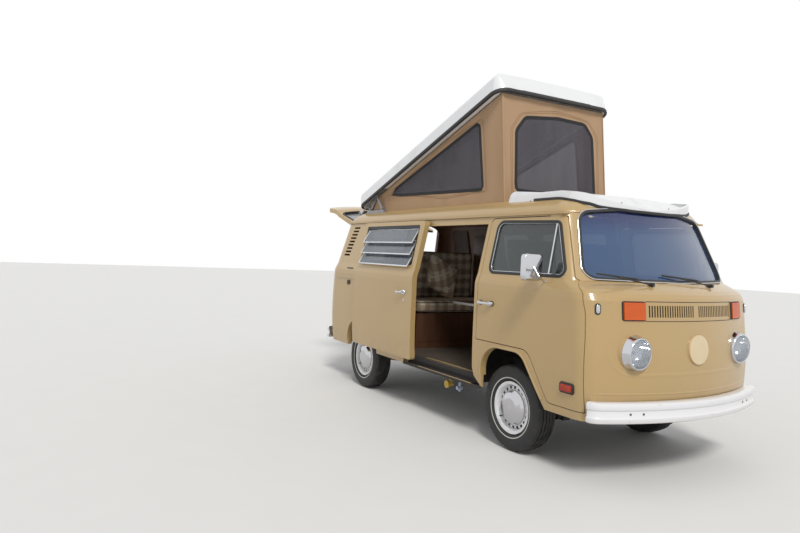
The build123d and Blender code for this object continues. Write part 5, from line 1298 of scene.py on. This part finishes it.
# Cab seats: brown vinyl with pleated middles, on steel boxes with a vinyl cover. The backs lean
# about their lower edges.
vinyl = Paint("brown_vinyl", (0.10, 0.062, 0.038), 0.5, coat_weight=0.15)
crease = vinyl.noise(260.0, 3.0)
vinyl.mottled((0.085, 0.052, 0.032), (0.125, 0.08, 0.05), 9.0, 4.0)
vinyl.put("Roughness", 0.42 + crease * 0.22)
vinyl.raise_by(crease, 0.0007, 0.35)
box_cover = Paint("seat_box_cover", (0.05, 0.045, 0.04), 0.7).worn(0.6, 0.25, 120.0)
dress(box_cover, "seat_boxes")
back_lean = about(at(-180, 0, 960.3), Matrix.Rotation(math.radians(-10), 4, "Y"))
for side, sign in SIDES.items():
    y = sign * 400
    low_pad = pillow("cab_seat_cushion_" + side, (-230, y - 240, 832), (260, y + 240, 960), vinyl,
                     "seat_cloth", 12.0, 36.0, pleats=9)
    pillow("cab_seat_back_" + side, (-240, y - 236, 974), (-120, y + 236, 1598), vinyl, "seat_cloth",
           12.0, 36.0, back_lean, 9)
    if side == "right":
        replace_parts(low_pad, "cab_seats")

# Dashboard: grained black padding with three round instruments, a blank switch row and a glove
# box lid; the steering wheel is hard black plastic with a plain padded hub.
dash_black = Paint("dash_black", (0.02, 0.02, 0.02), 0.5)
pebble = dash_black.noise(320.0, 4.0)
dash_black.mottled((0.016, 0.016, 0.016), (0.032, 0.031, 0.03), 6.0)
dash_black.put("Roughness", 0.42 + pebble * 0.2)
dash_black.raise_by(pebble, 0.0009, 0.35)
dress(dash_black, "dashboard", "steering_wheel")
DASH_X = 598.5
DIAL_FIRST_Y = 370
DIAL_GAP = 130
DIAL_Z = 1205
# The dials' marks are a mask round each dial's own middle.
dial_face = Paint("dial_face", (0.01, 0.01, 0.01), 0.3, coat_weight=1.0)
y, z = dial_face.axes("yz")
dials_from = (DIAL_FIRST_Y - DIAL_GAP / 2) / 1000
side_from = dial_face.maths("MODULO", y - dials_from, DIAL_GAP / 1000) - DIAL_GAP / 2000
high = z - DIAL_Z / 1000
ring = dial_face.maths("SQRT", side_from * side_from + high * high)
spoke = dial_face.maths("COSINE", dial_face.maths("ARCTAN2", high, side_from) * 24.0)
ticks = (dial_face.step(spoke, 0.7, 0.9) * dial_face.step(ring, 0.037, 0.038)
         * dial_face.step(ring, 0.046, 0.045))
dial_face.put("Base Color", dial_face.mix(ticks, (0.01, 0.01, 0.01), (0.8, 0.8, 0.78)))
BACK = (-1, 0, 0)
bm = bmesh.new()
bezels = bmesh.new()
for number in range(3):
    spot = at(DASH_X, DIAL_FIRST_Y + DIAL_GAP * number, DIAL_Z)
    spun(bm, [(-4, 0), (-4, 52), (2, 52), (3, 50), (3, 0)], spot, BACK, 36)
    spun(bezels, [(-4, 50), (-4, 57), (3, 57), (6, 54), (5, 50)], spot, BACK, 36, closed=True)
for number in range(5):
    spun(bezels, [(-4, 10), (3, 10), (4, 6), (14, 6), (16, 4), (16, 0)],
         at(DASH_X, -60 + 65 * number, 1235), BACK, 16)
spun(bezels, [(-4, 12), (3, 12), (5, 9), (12, 9), (14, 7), (14, 0)], at(DASH_X, -500, 1225), BACK, 20)
piece(bm, "dash_dials", dial_face, "body")
piece(bezels, "dash_bezels", chrome, "body")
bm = bmesh.new()
slab(bm, (588, -690, 1140), (602, -260, 1250), 6)
slab(bm, (592, -220, 1130), (602, 250, 1180), 4)
slab(bm, (584, -776, 1262), (640, 776, 1292), 12)
piece(bm, "dash_lids", dash_black, "body")

# Cab controls: gear lever and pedals in black, the inside mirror, and cream vinyl sun visors
# under the roof's front edge.
bm = bmesh.new()
spun(bm, [(0, 26), (10, 22), (22, 8), (300, 5), (330, 5), (336, 14), (352, 20), (372, 16), (380, 0)],
     at(300, 0, 612), (-0.10, 0, 0.99), 20)
for y in (300, 372, 450):
    slab(bm, (500, y - 26, 690), (512, y + 26, 760), 3, Matrix.Rotation(math.radians(24), 4, "Y"))
    slab(bm, (512, y - 6, 612), (520, y + 6, 730), 2)
piece(bm, "cab_controls", satin_black, "body")
bm = bmesh.new()
slab(bm, (440, -110, 1690), (452, 110, 1746), 8)
slab(bm, (452, -8, 1720), (480, 8, 1800), 3)
piece(bm, "inside_mirror", satin_black, "body")
cream_vinyl = Paint("cream_vinyl", (0.52, 0.46, 0.36), 0.6).worn(0.5, 0.25, 240.0)
bm = bmesh.new()
for y in (-370, 370):
    slab(bm, (360, y - 190, 1752), (490, y + 190, 1768), 6, Matrix.Rotation(math.radians(10), 4, "Y"))
piece(bm, "sun_visors", cream_vinyl, "body")

# Cab door linings: a black arm rest and a chrome window winder on the inner face of each door,
# whose place is found by a ray from the cab's middle.
for side, sign in SIDES.items():
    wall_y = door_skins[side].ray_cast(at(100, 0, 1050), Vector((0, sign, 0)))[0].y * 1000
    bm = bmesh.new()
    low, high = sorted((wall_y, wall_y - sign * 60))
    slab(bm, (-230, low, 1040), (90, high, 1078), 12)
    piece(bm, "door_arm_rest_" + side, dash_black, "cab_door_" + side)
    bm = bmesh.new()
    spun(bm, [(-2, 22), (8, 22), (10, 14), (26, 12), (28, 0)], at(200, wall_y, 1000), (0, -sign, 0), 24)
    low, high = sorted((wall_y - sign * 20, wall_y - sign * 30))
    slab(bm, (190, low, 930), (210, high, 1000), 4)
    spun(bm, [(0, 8), (10, 9), (26, 9), (30, 0)], at(200, wall_y - sign * 26, 935), (0, -sign, 0), 16)
    piece(bm, "window_winder_" + side, chrome, "cab_door_" + side)

# Water outlets under the sill: a yellow filler cap and a pale blue-white tap, told apart by where
# they stand along the sill.
outlet_paint = Paint("outlet_plastic", (0.6, 0.6, 0.6), 0.45).worn(0.4, 0.2, 60.0)
tap_here = outlet_paint.step(*outlet_paint.axes("x"), axle_x - 0.91, axle_x - 0.90)
outlet_paint.put("Base Color", outlet_paint.mix(tap_here, (0.62, 0.42, 0.06), (0.50, 0.56, 0.70)))
dress(outlet_paint, "water_outlets")

# Rear fittings: a blank number plate and its lamp's housing, the engine lid's catch and the
# tailgate's handle, all bosses on their panels.
plate_white = Paint("plate_blank", (0.72, 0.72, 0.70), 0.4).worn(0.35, 0.15, 40.0)
lid_skin = skin("engine_lid")
place, normal = seat_one(lid_skin, 0, 760, "rear")
bosses("number_plate_blank", plate_white, "engine_lid", "bumper_white",
       ((place + normal * 0.002, normal), (300, 150, 8), 4, 1))
bosses("plate_lamp_housing", trim_enamel, "engine_lid", "body_paint",
       (seat_one(lid_skin, 0, 900, "rear"), (150, 34, 14), 30, 8))
bosses("engine_lid_catch", chrome, "engine_lid", "chrome",
       (seat_one(lid_skin, 0, 640, "rear"), (60, 26, 10), 14, 5))
bosses("tailgate_handle", chrome, "tailgate", "chrome",
       (seat_one(tailgate_skin, tailgate_x - 560, 0, "top"), (30, 120, 12), 20, 7), upward=(0, 1, 0))
